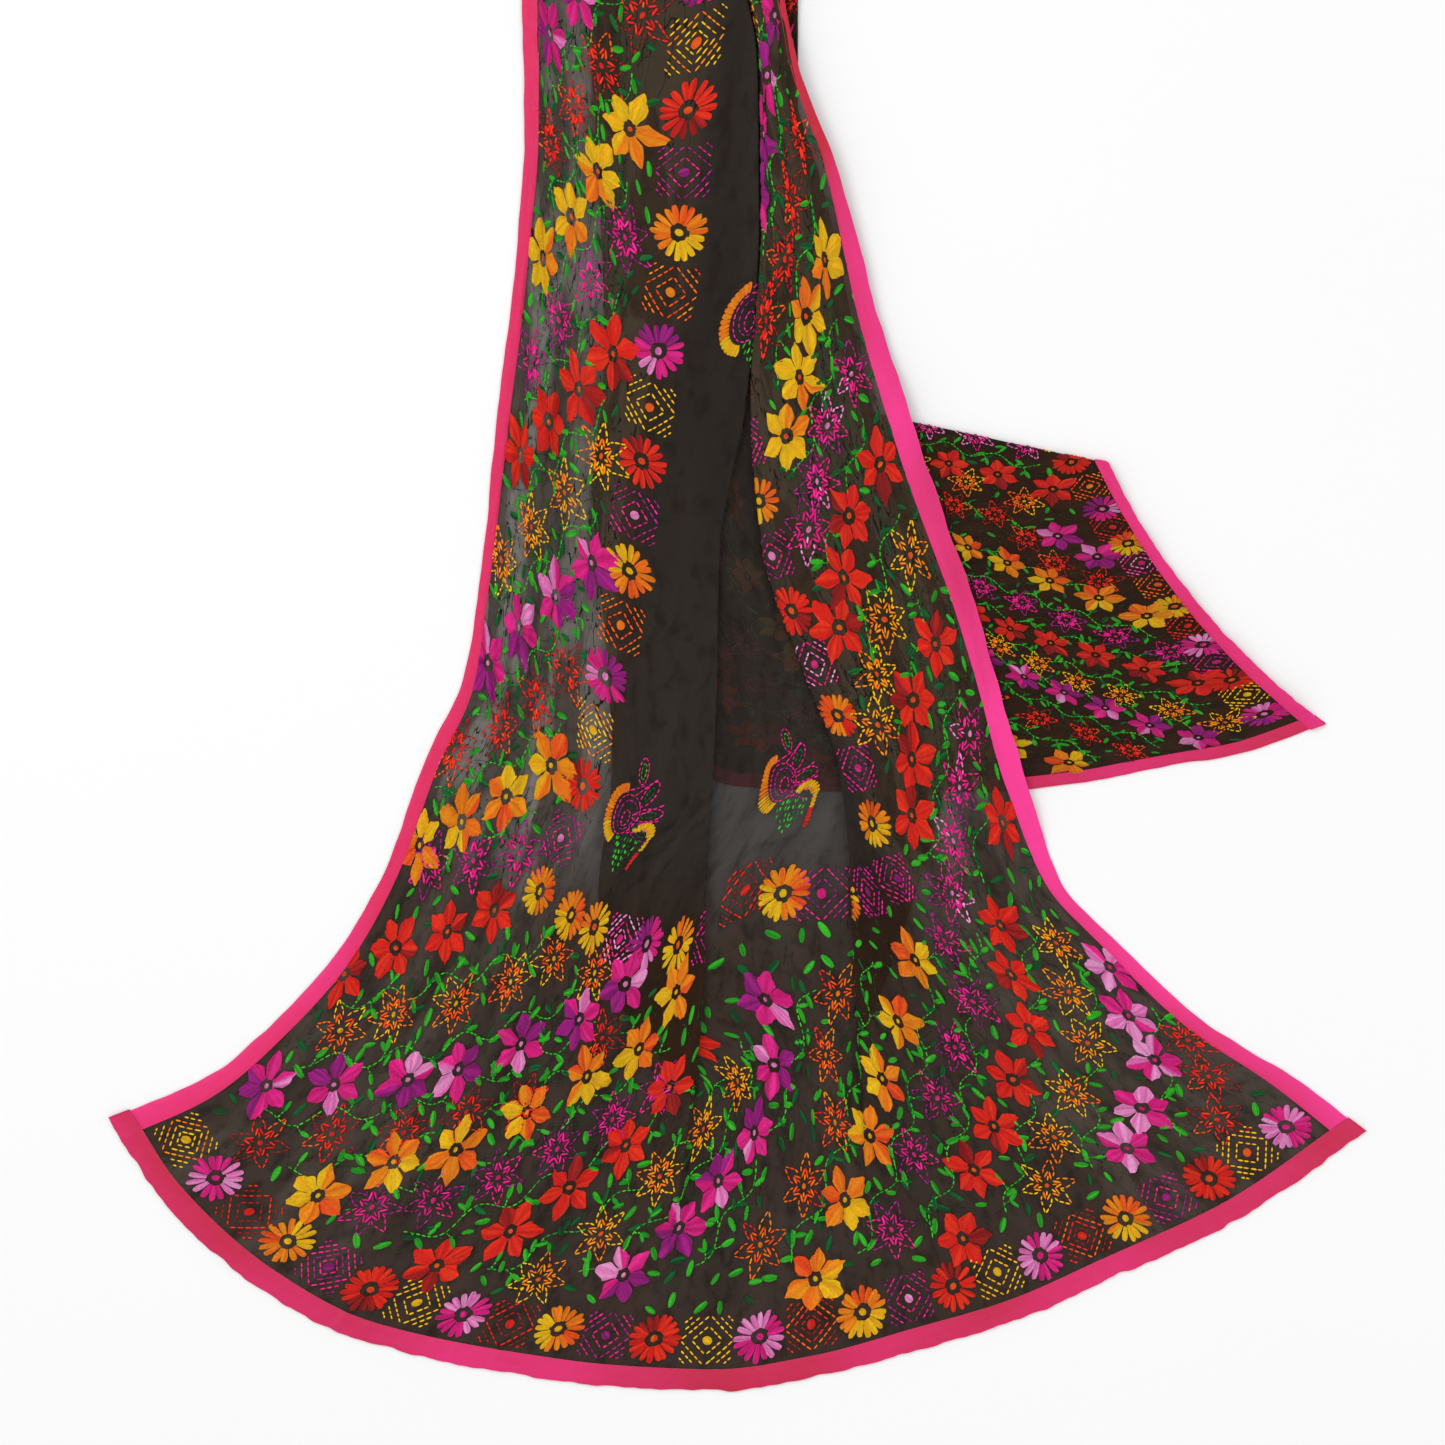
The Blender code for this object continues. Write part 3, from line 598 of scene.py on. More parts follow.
def makeFloss(name, grooves):
    f = Finish(name, Roughness=0.5, Specular_IOR_Level=0.22, Sheen_Weight=0.05, Sheen_Roughness=0.4)
    thread = f.add("ShaderNodeVertexColor", {"layer_name": "thread"})
    if grooves:
        strand = f.grain(f.clothPlace()[0], 1.0, 0.05, 9.0, 2.0, 0.6)
        groove = f.between(strand, *flossLook["groove"], 0.0)
        f.set("Base Color", f.mix(groove, thread, flossLook["shadow"]))
        f.set("Normal", f.bump(strand, flossLook["relief"], 0.9))
    else:
        fine = f.noise(f.add("ShaderNodeTexCoord", out=3), flossLook["fibre"], 2.0)
        tone = f.mix(fine * 0.4, thread, (0.0, 0.0, 0.0, 1.0), "MULTIPLY")
        f.set("Base Color", f.mix(fine * 0.35, thread, tone))
    return f.material


def makeFloor():
    f = Finish("paleFloor", Roughness=0.8)
    tint = f.noise(f.add("ShaderNodeTexCoord", out=3), 1.2, 2.0)
    f.set("Base Color", f.mix(tint, (0.90, 0.90, 0.90, 1), (0.93, 0.93, 0.93, 1)))
    return f.material


voileFront, voileBack = makeVoile("blackVoileFront", 1.0, 0.84), makeVoile("blackVoileBack", 0.0, 0.95)
satin = {side: makeSatin("pinkSatin" + side.title(), *shades) for side, shades in bindingLook.items()}
flossSatin, flossRun = makeFloss("satinStitch", True), makeFloss("runningStitch", False)
print("materials made")

# The cloth

frontCloth = {"rowGap": 4.0, "turn": (0.1, 1.0, 10), "end": 26, "run": 13, "ridge": 9, "lip": 9}
backCloth = {"shares": 70, "rows": 250, "under": 24, "lip": 9, "edge": 14.0, "mostShown": 0.72,
             "puckers": 0.6, "stretch": 0.7, "deepest": -0.5, "seedAndSize": (21, 30.0)}


def makeFrontSurface():
    length = np.linspace(0.0, frontTop, int(frontTop / frontCloth["rowGap"]))
    turn = frontTop + turnLength() * np.linspace(*frontCloth["turn"])
    stations = np.concatenate([length, turn, [frontTop + turnLength() + fold["turnTail"]]])
    rows = [frontPoints(v, frontCloth) for v in stations]
    return Surface(stations, [r[0] for r in rows], [r[1] for r in rows])


def makeBackSurface():
    top, edge = backCloth["shares"], backCloth["edge"]
    shares = np.linspace(0, 1, top)
    stations = np.linspace(backTable["start"], backEnd, backCloth["rows"])
    us, points = [], []
    for along in stations:
        run, place = backSection(along, shares, backCloth["under"], backCloth["lip"])
        flat = runningSum(np.linalg.norm(np.diff(place, axis=0), axis=1))
        shown = min(run[top - 1] / backTable["gathered"], backCloth["mostShown"] * cut["width"])
        u = flat / flat[top - 1] * shown
        u[top:] = shown + (flat[top:] - flat[top - 1]) / (flat[-1] - flat[top - 1]) * (cut["width"] - shown)
        free = ease(flat / edge) * ease((flat[top - 1] - flat) / edge) * (np.arange(len(flat)) < top)
        pucker = softNoise(u * backCloth["stretch"], along + 0 * u, *backCloth["seedAndSize"])
        place[:, 2] += free * np.maximum(pucker, backCloth["deepest"]) * backCloth["puckers"]
        us.append(u)
        points.append(place)
    return Surface(stations, us, points, -1)


def trimmed(surface, low, high, near=10):
    # the part of a surface between two places across, with even ends
    points, us = [], []
    for u, p in zip(surface.us, surface.points):
        keep = u.copy()
        keep[:near] = np.linspace(low, u[near - 1], near)
        if high is not None:
            keep[-near:] = np.linspace(u[-near], high, near)
        us.append(keep)
        points.append(np.stack([np.interp(keep, u, p[:, i]) for i in range(3)], axis=1))
    return Surface(surface.vs, us, points, surface.facing)


def makeSheet(name, surface, finish):
    rows, columns = surface.us.shape
    uv = np.stack([surface.us.ravel() / 100, np.repeat(surface.vs, columns) / 100], axis=1)
    faces = gridFaces(rows, columns)[:, ::surface.facing]
    return addMesh(name, surface.points.reshape(-1, 3), faces, finish, uv)


def rowsOf(surface, keep):
    return Surface(surface.vs[keep], surface.us[keep], surface.points[keep], surface.facing)


frontSurface, backSurface = makeFrontSurface(), makeBackSurface()
wide, width = cut["binding"], cut["width"]
inner = wide - 1.5
frontRows, backRowsShown = frontSurface.vs > inner - 2, backSurface.vs < backEnd - 8
bodyFront = makeSheet("body_cloth_front", trimmed(rowsOf(frontSurface, frontRows), inner, width - inner),
                      voileFront)
bodyBack = makeSheet("body_cloth_back", trimmed(rowsOf(backSurface, backRowsShown), wide + 1.0, None),
                     voileBack)
print("cloth laid", len(bodyFront.data.polygons), len(bodyBack.data.polygons))

# The pink bindings, folded over the raw edges

bindingShape = {"across": 9, "half": 0.75, "wave": 0.9, "waves": ((41, 14.0), (43, 5.0)), "mostPull": 2.6,
                "puff": 0.22, "puffs": (31, 9.0), "under": 0.9, "hem": 460, "end": 300}
# up the length the long bindings lie flatter and so show wider: the places along them, and by how much
flatter = {"left": ((430, 0.0), (560, 0.32), (720, 0.32), (870, 0.75)), "right": ((230, 0.0), (350, 0.78)),
           "under": ((0, 0.0), (1, 0.0))}


def makeBinding(name, places, finish):
    # places: rows along the binding, each with points across it, the side at the cloth's edge first
    places = np.array(places)
    rows, columns = places.shape[:2]
    broad, fine = (softNoise(np.arange(rows) * 1.0, np.zeros(rows), *kind)
                   for kind in bindingShape["waves"])
    wave = np.clip(1.0 + bindingShape["wave"] * (broad + 0.5 * fine), 0.0, bindingShape["mostPull"])
    pull = wave[:, None] / cut["binding"] * (1 - np.linspace(0, 1, columns))[None, :] ** 2
    places += (places[:, -1:] - places[:, :1]) * pull[:, :, None]
    normals = normalsOf(places)
    facing = np.sign(normals[:, columns // 2, 2].mean())
    s = np.linspace(-1, 1, columns)
    along = np.arange(rows)[:, None] * 1.0 + 0 * s
    puff = 1 + bindingShape["puff"] * softNoise(along, 8.0 * s[None, :] + 0 * along, *bindingShape["puffs"])
    out = normals * facing * (bindingShape["half"] * (1 - np.abs(s) ** 6) * puff)[:, :, None]
    upper, lower = places + out, places - out * bindingShape["under"]
    upper[..., 2], lower[..., 2] = np.maximum(upper[..., 2], 0.02), np.maximum(lower[..., 2], 0.0)
    count, last = rows * columns, (rows - 1) * columns
    a, c = np.arange(rows - 1) * columns, np.arange(columns - 1)
    b, d = a + columns - 1, last + c
    faces = np.concatenate([
        gridFaces(rows, columns), gridFaces(rows, columns, count)[:, ::-1],
        np.stack([a + columns, a, count + a, count + a + columns], axis=1),
        np.stack([b, b + columns, count + b + columns, count + b], axis=1),
        np.stack([c + 1, count + c + 1, count + c, c], axis=1),
        np.stack([d + 1, d, count + d, count + d + 1], axis=1)])
    length = runningSum(np.linalg.norm(np.diff(places[:, columns // 2], axis=0), axis=1))
    uv = np.stack([np.tile(np.repeat(length, columns), 2), np.tile(np.tile(s * 8, rows), 2)], axis=1) / 100
    return addMesh(name, np.concatenate([upper.reshape(-1, 3), lower.reshape(-1, 3)]),
                   faces[:, ::int(facing)], finish, uv)


def widerAt(side, v):
    places = np.array(flatter[side])
    return np.interp(v, places[:, 0], places[:, 1])


def bandAlong(surface, first, last, rows, side):
    # a strip of places beside a long edge
    places = []
    for v in surface.vs[rows]:
        inside = last + (last - first) * float(widerAt(side, v))
        across = np.linspace(first, inside, bindingShape["across"])
        places.append(surface.at(across, np.full(len(across), v), 0.1)[0])
    return places


def bandAcross(surface, first, last, count, out):
    # a strip of places beside a hem
    down = np.linspace(first, last, bindingShape["across"])
    return [surface.at(np.full(len(down), u), down, out)[0] for u in np.linspace(0.0, width, count)]


lengthRows = np.where(frontRows & (frontSurface.vs < frontTop + 30))[0]
backShown = backTable["bindingShown"] / backTable["gathered"]
backAll = np.arange(len(backSurface.vs))
leftBand = bandAlong(frontSurface, 0.0, wide, lengthRows, "left")
rightBand = bandAlong(frontSurface, width, width - wide, lengthRows, "right")
hemBand = bandAcross(frontSurface, 0.0, wide, bindingShape["hem"], 0.35)
longBand = bandAlong(backSurface, 0.0, backShown, backAll, "under")
endBand = bandAcross(backSurface, backEnd, backEnd - 11.0, bindingShape["end"], 0.7)
leftBinding = makeBinding("binding_left", leftBand, satin["left"])
rightBinding = makeBinding("binding_right", rightBand, satin["right"])
hemBinding = makeBinding("binding_hem_fan", hemBand, satin["hem"])
longBinding = makeBinding("binding_long_under", longBand, satin["under"])
backHemBinding = makeBinding("binding_hem_under", endBand, satin["end"])
print("bindings folded")

# The floss colours, each with the small changes of one dye lot to the next.
floss = {
    "red": [(244, 30, 8), (226, 20, 8), (252, 52, 14)],
    "deepRed": [(162, 16, 10), (188, 22, 14), (144, 14, 12)],
    "flame": [(255, 92, 8), (255, 110, 12), (244, 68, 10)],
    "orange": [(255, 134, 0), (255, 154, 4), (255, 114, 4)],
    "gold": [(255, 194, 0), (255, 206, 10), (255, 180, 0)],
    "magenta": [(238, 20, 136), (250, 40, 152), (218, 12, 122)],
    "purple": [(164, 14, 132), (184, 24, 144), (140, 10, 112)],
    "pale": [(250, 138, 206), (255, 166, 222), (242, 112, 192)],
    "leaf": [(44, 186, 26), (62, 206, 40), (26, 158, 26)],
    "moss": [(0, 96, 40), (0, 116, 48), (0, 74, 32)],
    "float": [(6, 66, 26), (20, 30, 16), (4, 84, 34)],
}
# How the variegated floss changes round a motif.
blends = {
    "red": ["red", "red", "red", "red", "deepRed", "red"],
    "orange": ["orange", "orange", "gold", "gold", "orange", "flame"],
    "gold": ["gold", "gold", "gold", "orange", "orange", "gold"],
    "magenta": ["magenta", "magenta", "purple", "purple", "magenta", "pale"],
    "pink": ["pale", "pale", "magenta", "magenta", "pale", "magenta"],
    "purple": ["purple", "purple", "magenta", "purple", "magenta", "purple"],
    "deepRed": ["deepRed", "deepRed", "red", "deepRed", "flame", "red"],
    "flame": ["flame", "orange", "flame", "flame", "orange", "red"],
}
hearts = {"red": "flame", "orange": "gold", "gold": "flame", "magenta": "pale", "pink": "magenta",
          "purple": "magenta", "deepRed": "red", "flame": "orange"}
pick = np.random.RandomState(77)


def shadeOf(tone, spread=0.10):
    dyed = np.array(linear(*floss[tone][pick.randint(3)]))
    return np.clip(dyed * pick.uniform(1 - spread, 1 + spread), 0, 1)


def anyAngle():
    return pick.uniform(0, 6.28)


def around(turn, count):
    # even steps round a motif, each a little off
    for i in range(count):
        yield i, turn + i * 2 * math.pi / count + pick.uniform(-0.07, 0.07)


# stitches run on beneath the bindings: from how far inside the edge, over what length, and how deep
tuckIn = {"from": 14.5, "over": 2.5, "depth": 0.25, "backHem": 5.0}
runStitch = {"high": 0.28, "out": 0.45, "lowest": 0.6, "shortest": 0.45, "longest": 9, "overlap": 0.12}


class Stitching:
    # the stitches of one stretch of cloth: satin ones as small raised patches, running ones as dashes
    def __init__(self, surface, shade=1.0, thread=1.0):
        self.surface, self.patches, self.dashes, self.centres = surface, [], [], []
        self.grow, self.shade, self.thread = (1.0, 1.0), shade, thread

    def free(self, u, v, margin):
        # whether a place is clear of every motif
        spots = np.array(self.centres)
        return bool((np.hypot(spots[:, 0] - u, spots[:, 1] - v) > spots[:, 2] + margin).all())

    def tuckedIn(self, u, v, out):
        left, right, hem = u, width - u, v
        if self.surface.facing > 0:
            left, right = left - wide * widerAt("left", v), right - wide * widerAt("right", v)
        else:
            hem = backEnd - v + tuckIn["backHem"]
        inLong, inHem = (ease((inside - tuckIn["from"]) / tuckIn["over"])
                         for inside in (np.minimum(left, right), hem))
        shown = inLong * inHem
        return out * shown - tuckIn["depth"] * (1 - shown)

    def dash(self, u, v, du, dv, colour, thick):
        self.dashes.append((u, v, du, dv, thick * self.thread, runStitch["high"], runStitch["out"],
                            *(colour * self.shade)))


satinStitch = {"rise": 0.95, "rows": 7, "threads": 9, "ragged": 0.065, "base": 0.12, "tip": 0.22,
               "shorter": 0.56, "pointed": (1.2, 1.7), "uneven": 0.6, "width": (0.48, 0.52), "bend": 0.9}


def satinPatch(s, u, v, angle, along, side, rise, colours):
    # rows of points: along and side are distances from the centre, in the direction of the angle
    rows, threads = along.shape
    ca, sa = math.cos(angle), math.sin(angle)
    t, a = np.linspace(0, 1, rows)[:, None], np.linspace(-1, 1, threads)[None, :]
    dome = rise * (1 - 0.8 * np.abs(a) ** 3) * np.sin(math.pi * (0.07 + 0.86 * t)) ** 0.5
    strand = a * threads * 0.5 + 0 * t + pick.uniform(0, 50)
    gu, gv = s.grow
    s.patches.append((u + gu * (along * ca - side * sa), v + gv * (along * sa + side * ca),
                      satinStitch["base"] + dome, colours, strand))


def threadTones(rows, tones):
    # one colour for each thread, a little different from its neighbours
    colours = np.array([shadeOf(tone, 0.05) for tone in tones])
    return np.repeat((colours * pick.uniform(0.86, 1.12, (len(tones), 1)))[None], rows, 0)


def petal(s, u, v, angle, start, end, half, tone, second=None):
    # threads that fan out from the centre and stop one after another, up to a pointed tip
    rows, n = satinStitch["rows"], satinStitch["threads"]
    t, a = np.linspace(0, 1, rows)[:, None], np.linspace(-1, 1, n)[None, :]
    most, uneven, bend, (least, more) = (satinStitch[key] for key in ("tip", "uneven", "bend", "width"))
    tip = pick.uniform(-most, most)
    away = np.abs(a - tip) / (1 + abs(tip))
    shorter = satinStitch["shorter"] * away ** pick.uniform(*satinStitch["pointed"])
    far = t * (1 - shorter + pick.uniform(-1, 1, (1, n)) * satinStitch["ragged"])
    along = start + pick.uniform(-uneven, uneven, (1, n)) * (1 - t) + far * (end - start)
    side = half * a * (least + more * ease(far / 0.5)) + pick.uniform(-bend, bend) * far ** 2
    tones = [tone if second is None or x < tip else second for x in a[0]]
    satinPatch(s, u, v, angle, along, side, satinStitch["rise"], threadTones(rows, tones))


def barPetal(s, u, v, angle, start, end, half, tone):
    # a narrow petal of three or four even stitches
    t, a = np.linspace(0, 1, 5)[:, None], np.linspace(-1, 1, 4)[None, :]
    reach = (end - start) * (1 - 0.10 * np.abs(a) + pick.uniform(-0.04, 0.04, (1, 4)))
    side = half * a * (0.55 + 0.45 * ease(t / 0.6)) * (1 - 0.2 * ease((t - 0.75) / 0.25))
    satinPatch(s, u, v, angle, start + t * reach, side, 0.8, threadTones(5, [tone] * 4))


def bar(s, u, v, out, inside, long, half, tone):
    # one such petal across a line, that starts a little inside it
    barPetal(s, u - inside * math.cos(out), v - inside * math.sin(out), out, 0.0, long, half, tone)


def leafPatch(s, u, v, angle, length, half, tone, rise=0.75):
    t, a = np.linspace(0, 1, 6)[:, None], np.linspace(-1, 1, 5)[None, :]
    along = t * length * (1 - 0.06 * np.abs(a)) + 0 * a
    side = half * a * (0.22 + 0.78 * np.sin(math.pi * (0.05 + 0.90 * t)) ** 0.6)
    satinPatch(s, u, v, angle, along, side, rise, threadTones(6, [tone] * 5))


def heart(s, u, v, size, tone, clear):
    # the spot in the middle of a motif, which then keeps leaves and stems off
    angle = anyAngle()
    leafPatch(s, u - size * math.cos(angle), v - size * math.sin(angle), angle, 2 * size, size * 0.85,
              tone, 0.9)
    s.centres.append((u, v, clear))


def runLine(s, points, tone, dash=3.2, gap=1.0, thick=0.52, clear=None):
    # stitches of about the same length along a line
    points = np.asarray(points, float)
    places = runningSum(np.hypot(*np.diff(points, axis=0).T))
    if places[-1] < 1.0:
        return
    count = max(1, int(round(places[-1] / (dash + gap))))
    step = places[-1] / count
    for i in range(count):
        a = i * step + gap / 2 + pick.uniform(-0.3, 0.3)
        b = a + (step - gap) * pick.uniform(0.86, 1.12)
        (ua, ub), (va, vb) = (np.interp([a, b], places, points[:, axis]) for axis in (0, 1))
        if clear is None or s.free((ua + ub) / 2, (va + vb) / 2, clear):
            s.dash((ua + ub) / 2, (va + vb) / 2, (ub - ua) / 2, (vb - va) / 2, shadeOf(tone),
                   thick * pick.uniform(0.85, 1.15))


flowerShape = {"petals": 6, "start": 4.8, "end": 22.4, "half": 6.6, "heart": 1.9, "clear": 19.5}


def flower(s, u, v, blend):
    # six leaf-shaped petals round a bare ring
    tones, turn, shift, way = blends[blend], anyAngle(), pick.randint(6), pick.choice([-1, 1])
    for i in range(flowerShape["petals"]):
        tone = tones[(shift + way * i) % 6]
        second = tones[(shift + way * (i + 1)) % 6] if pick.rand() < 0.3 else None
        petal(s, u, v, turn + i * math.pi / 3 + pick.uniform(-0.09, 0.09), flowerShape["start"],
              flowerShape["end"] * pick.uniform(0.88, 1.12), flowerShape["half"] * pick.uniform(0.88, 1.08),
              tone, second)
    heart(s, u, v, flowerShape["heart"], hearts[blend], flowerShape["clear"])


starShape = {"inner": 5.0, "middle": 11.6, "outer": 21.6, "half": 4.7, "spoke": (3.8, 8.2), "heart": 2.0,
             "clear": 18.5}
# the floss of the inner star, where it differs from the petals'
starHearts = {"orange": "flame", "gold": "orange", "deepRed": "red", "purple": "magenta", "pink": "magenta",
              "flame": "flame", "magenta": "magenta"}


def star(s, u, v, blend):
    # dashed petals round a spiky inner star
    tones, turn, count, shift = blends[blend], anyAngle(), pick.choice([6, 6, 7]), pick.randint(6)
    gu, gv = s.grow
    tip, spoke = 0.35, starShape["spoke"]
    for i, angle in around(turn, count):
        ca, sa, size = math.cos(angle), math.sin(angle), pick.uniform(0.92, 1.06)
        tone, half = tones[(shift + i) % 6], starShape["half"] * pick.uniform(0.85, 1.1)
        petalSide = [(8.6, half * 0.8), (11.4, half), (starShape["outer"] * size, tip)]
        spike = [(starShape["middle"] * size, tip), (starShape["inner"], 2.8)]
        for side in (-1, 1):
            for path, *thread in ((petalSide, tone, 3.7, 0.8, 0.58),
                                  (spike, starHearts[blend], 6.5, 0.4, 0.76)):
                runLine(s, [(u + gu * (x * ca - side * y * sa), v + gv * (x * sa + side * y * ca))
                            for x, y in path], *thread)
        runLine(s, [(u + gu * x * ca, v + gv * x * sa) for x in (spoke[0], spoke[1] * size)],
                tone, 5.0, 0.4, 0.6)
    heart(s, u, v, starShape["heart"], hearts[blend], starShape["clear"])


daisyShape = {"petals": (16, 20), "start": (5.0, 6.4), "end": 17.4, "half": 2.0, "heart": 2.6,
              "clear": 17.5}


def daisy(s, u, v, blend):
    tones, turn = blends[blend], anyAngle()
    count, shift = pick.randint(*daisyShape["petals"]), pick.randint(6)
    for i, angle in around(turn, count):
        start, end = pick.uniform(*daisyShape["start"]), daisyShape["end"] * pick.uniform(0.93, 1.07)
        barPetal(s, u, v, angle, start, end, daisyShape["half"], tones[(shift + i * 6 // count) % 6])
    heart(s, u, v, daisyShape["heart"], hearts[blend], daisyShape["clear"])


diamondShape = {"squares": ((9.8, 17.2), (7.0, 12.1, 17.2)), "outside": ((11.3, 4.4), (14.0, 2.3)),
                "heart": 3.3, "clear": 18.0}


def diamond(s, u, v, blend):
    # squares on their points, one inside another, with short rows outside each side
    tones, (two, three) = blends[blend], diamondShape["squares"]
    for n, reach in enumerate(two if pick.rand() < 0.6 or s.surface.facing < 0 else three):
        corners, tone = [(u + reach, v), (u, v + reach), (u - reach, v), (u, v - reach)], tones[(n * 2) % 6]
        for (ua, va), (ub, vb) in zip(corners, corners[1:] + corners[:1]):
            runLine(s, [(ua + (ub - ua) * q, va + (vb - va) * q) for q in (0.04, 0.96)],
                    tone, 3.8, 0.8, 0.64)
    for su in (-1, 1):
        for sv in (-1, 1):
            for n, (off, half) in enumerate(diamondShape["outside"]):
                cu, cv = u + su * off, v + sv * off
                runLine(s, [(cu - su * half, cv + sv * half), (cu + su * half, cv - sv * half)],
                        tones[(n + 1) % 6], 3.4, 0.8, 0.62)
    tone = hearts[blend] if pick.rand() < 0.4 else tones[2]
    heart(s, u, v, diamondShape["heart"], tone, diamondShape["clear"])


leafShape = {"length": 10.6, "half": 2.1, "dark": 0.26, "darkInStrips": 0.42}


def leaf(s, u, v, angle, size=1.0):
    share = leafShape["darkInStrips" if s.surface.facing > 0 and v > 300 else "dark"]
    tone = "moss" if pick.rand() < share else "leaf"
    size *= pick.uniform(0.8, 1.15)
    leafPatch(s, u, v, angle, leafShape["length"] * size, leafShape["half"] * size, tone)


vineShape = {"wave": 52.0, "stitch": (3.6, 0.8), "shoot": 6.0, "leaf": 8.0, "clear": -3.5}


def vine(s, start, end, sway, spacing=13.0, tone="leaf", thick=0.54):
    # a stem of running stitches, with leaves and short side shoots
    start, end = np.array(start, float), np.array(end, float)
    way = end - start
    total = np.hypot(*way)
    if total < 8:
        return
    way /= total
    t = np.linspace(0, 1, max(6, int(total / 4)))
    bend = sway * np.sin(t * total * 6.283 / vineShape["wave"] + anyAngle())
    path = start + t[:, None] * total * way + bend[:, None] * np.array([-way[1], way[0]])
    runLine(s, path, tone, *vineShape["stitch"], thick, vineShape["clear"])
    if tone == "float":
        return
    at, sign, heading = pick.uniform(2, 8), pick.choice([-1, 1]), math.atan2(way[1], way[0])
    reach, shoot = vineShape["leaf"], vineShape["shoot"]
    while at < total - 3:
        u, v = np.interp(at / total, t, path[:, 0]), np.interp(at / total, t, path[:, 1])
        angle = heading + sign * pick.uniform(0.6, 1.25)
        ca, sa = math.cos(angle), math.sin(angle)
        if not s.free(u + reach * ca, v + reach * sa, -1.5) or not s.free(u, v, vineShape["clear"]):
            sign, at = -sign, at + spacing * 0.4
            continue
        if pick.rand() < 0.5:
            nu, nv = u + shoot * ca, v + shoot * sa
            runLine(s, [(u, v), (nu, nv)], tone, 2.6, 0.7, thick)
            leaf(s, nu, nv, angle + pick.uniform(-0.4, 0.4), 0.9)
            if pick.rand() < 0.5:
                leaf(s, nu, nv, angle + sign * pick.uniform(0.8, 1.3), 0.75)
        else:
            leaf(s, u + 1.2 * ca, v + 1.2 * sa, angle, 0.9)
        sign = -sign
        at += spacing * pick.uniform(0.7, 1.2)


def looseLeaves(s, uRange, vRange, count, apart=11.0):
    # single leaves in the gaps between the flowers
    placed = []
    for _ in range(count * 14):
        u, v = pick.uniform(*uRange), pick.uniform(*vRange)
        if not s.free(u, v, 2.5) or any((u - a) ** 2 + (v - b) ** 2 < apart ** 2 for a, b in placed):
            continue
        placed.append((u, v))
        angle = anyAngle()
        leaf(s, u - 4 * math.cos(angle), v - 4 * math.sin(angle), angle)
        if len(placed) >= count:
            break


# in the bird's own millimetres: loops as centre, radii, turn and floss, and lines as their two ends
birdShape = {
    "size": 0.72, "clear": 36.0,
    "body": ((2, 0, 14, 19, 0.1, "magenta"), (3, 0, 10, 14, 0.1, "purple"),
             (3, -3, 4.5, 8, 0.1, "magenta", 2.4)),
    "feathers": ((26, 4, 17, 6, 0.25, "magenta"), (27, -13, 16, 5.5, -0.35, "purple"),
                 (22, 23, 16, 5.5, 0.95, "magenta")),
    "head": ((14, 42, 5, 13, -0.2, "magenta"), (14, 42, 2.4, 8, -0.2, "leaf", 2.2)),
    "tail": ((16, 3, 40, 16), (18, -6, 42, 1), (4, 18, 30, 38), (-6, 20, 16, 30), (12, -16, 34, -10)),
    "crest": (20, 25, 3.4, 6.6, 1.6), "crook": (31, -17, 11, 3.6, 1.5), "field": (4, 4.2, -19, -6.0),
}


def bird(s, u, v, flip, crest, lean):
    # a small bird in running stitch: a round body, three looped feathers and a satin crest
    size = birdShape["size"]

    def at(x, y):
        return u + (flip * x - lean * y) * size, v + y * size

    def loop(cx, cy, rx, ry, turn, tone, dash=3.0):
        q = np.linspace(0, 2 * math.pi, 22)
        c, d = math.cos(turn), math.sin(turn)
        x, y = rx * np.cos(q), ry * np.sin(q)
        runLine(s, np.stack(at(cx + x * c - y * d, cy + x * d + y * c), axis=1), tone, dash, 0.9, 0.5)

    rx, ry, inside, long, half = birdShape["crest"]
    for i in range(18):
        q = math.radians(100 + 160 * i / 17)
        out = math.atan2(ry * math.sin(q), flip * rx * math.cos(q))
        bar(s, *at(rx * math.cos(q), ry * math.sin(q)), out, inside, long, half,
            crest if i < 12 else "gold")
    for shape in birdShape["body"]:
        loop(*shape)
    for cx, cy, rx, ry, turn, tone in birdShape["feathers"]:
        loop(cx, cy, rx, ry, turn, tone)
        loop(cx, cy, rx * 0.55, ry * 0.45, turn, "moss", 2.4)
    for shape in birdShape["head"]:
        loop(*shape)
    for ax, ay, bx, by in birdShape["tail"]:
        runLine(s, [at(ax, ay), at(bx, by)], "magenta", 3.4, 0.8, 0.55)
    # a curled second crest with a red tip
    cx, cy, r, step, half = birdShape["crook"]
    for i in range(18):
        q, long = math.radians(150 - 150 * min(i, 9) / 9), 6.4 if i < 9 else 3.2
        bar(s, *at(cx + r * math.cos(q), cy + r * math.sin(q) - step * max(i - 9, 0)),
            math.atan2(math.sin(q), flip * math.cos(q)), long / 2, long, half, "gold" if i < 13 else "red")
    # a field of short green stitches
    left, across, top, down = birdShape["field"]
    for i in range(8):
        for j in range(6 - abs(i - 4)):
            x, y = left + across * i + pick.uniform(-1, 1), top + down * j + pick.uniform(-1, 1)
            runLine(s, [at(x, y), at(x + pick.uniform(-2.5, 2.5), y - 4.4)],
                    "leaf" if pick.rand() < 0.75 else "moss", 3.4, 0.4, 0.6)
    s.centres.append((u + flip * 10, v - 6.0, birdShape["clear"]))


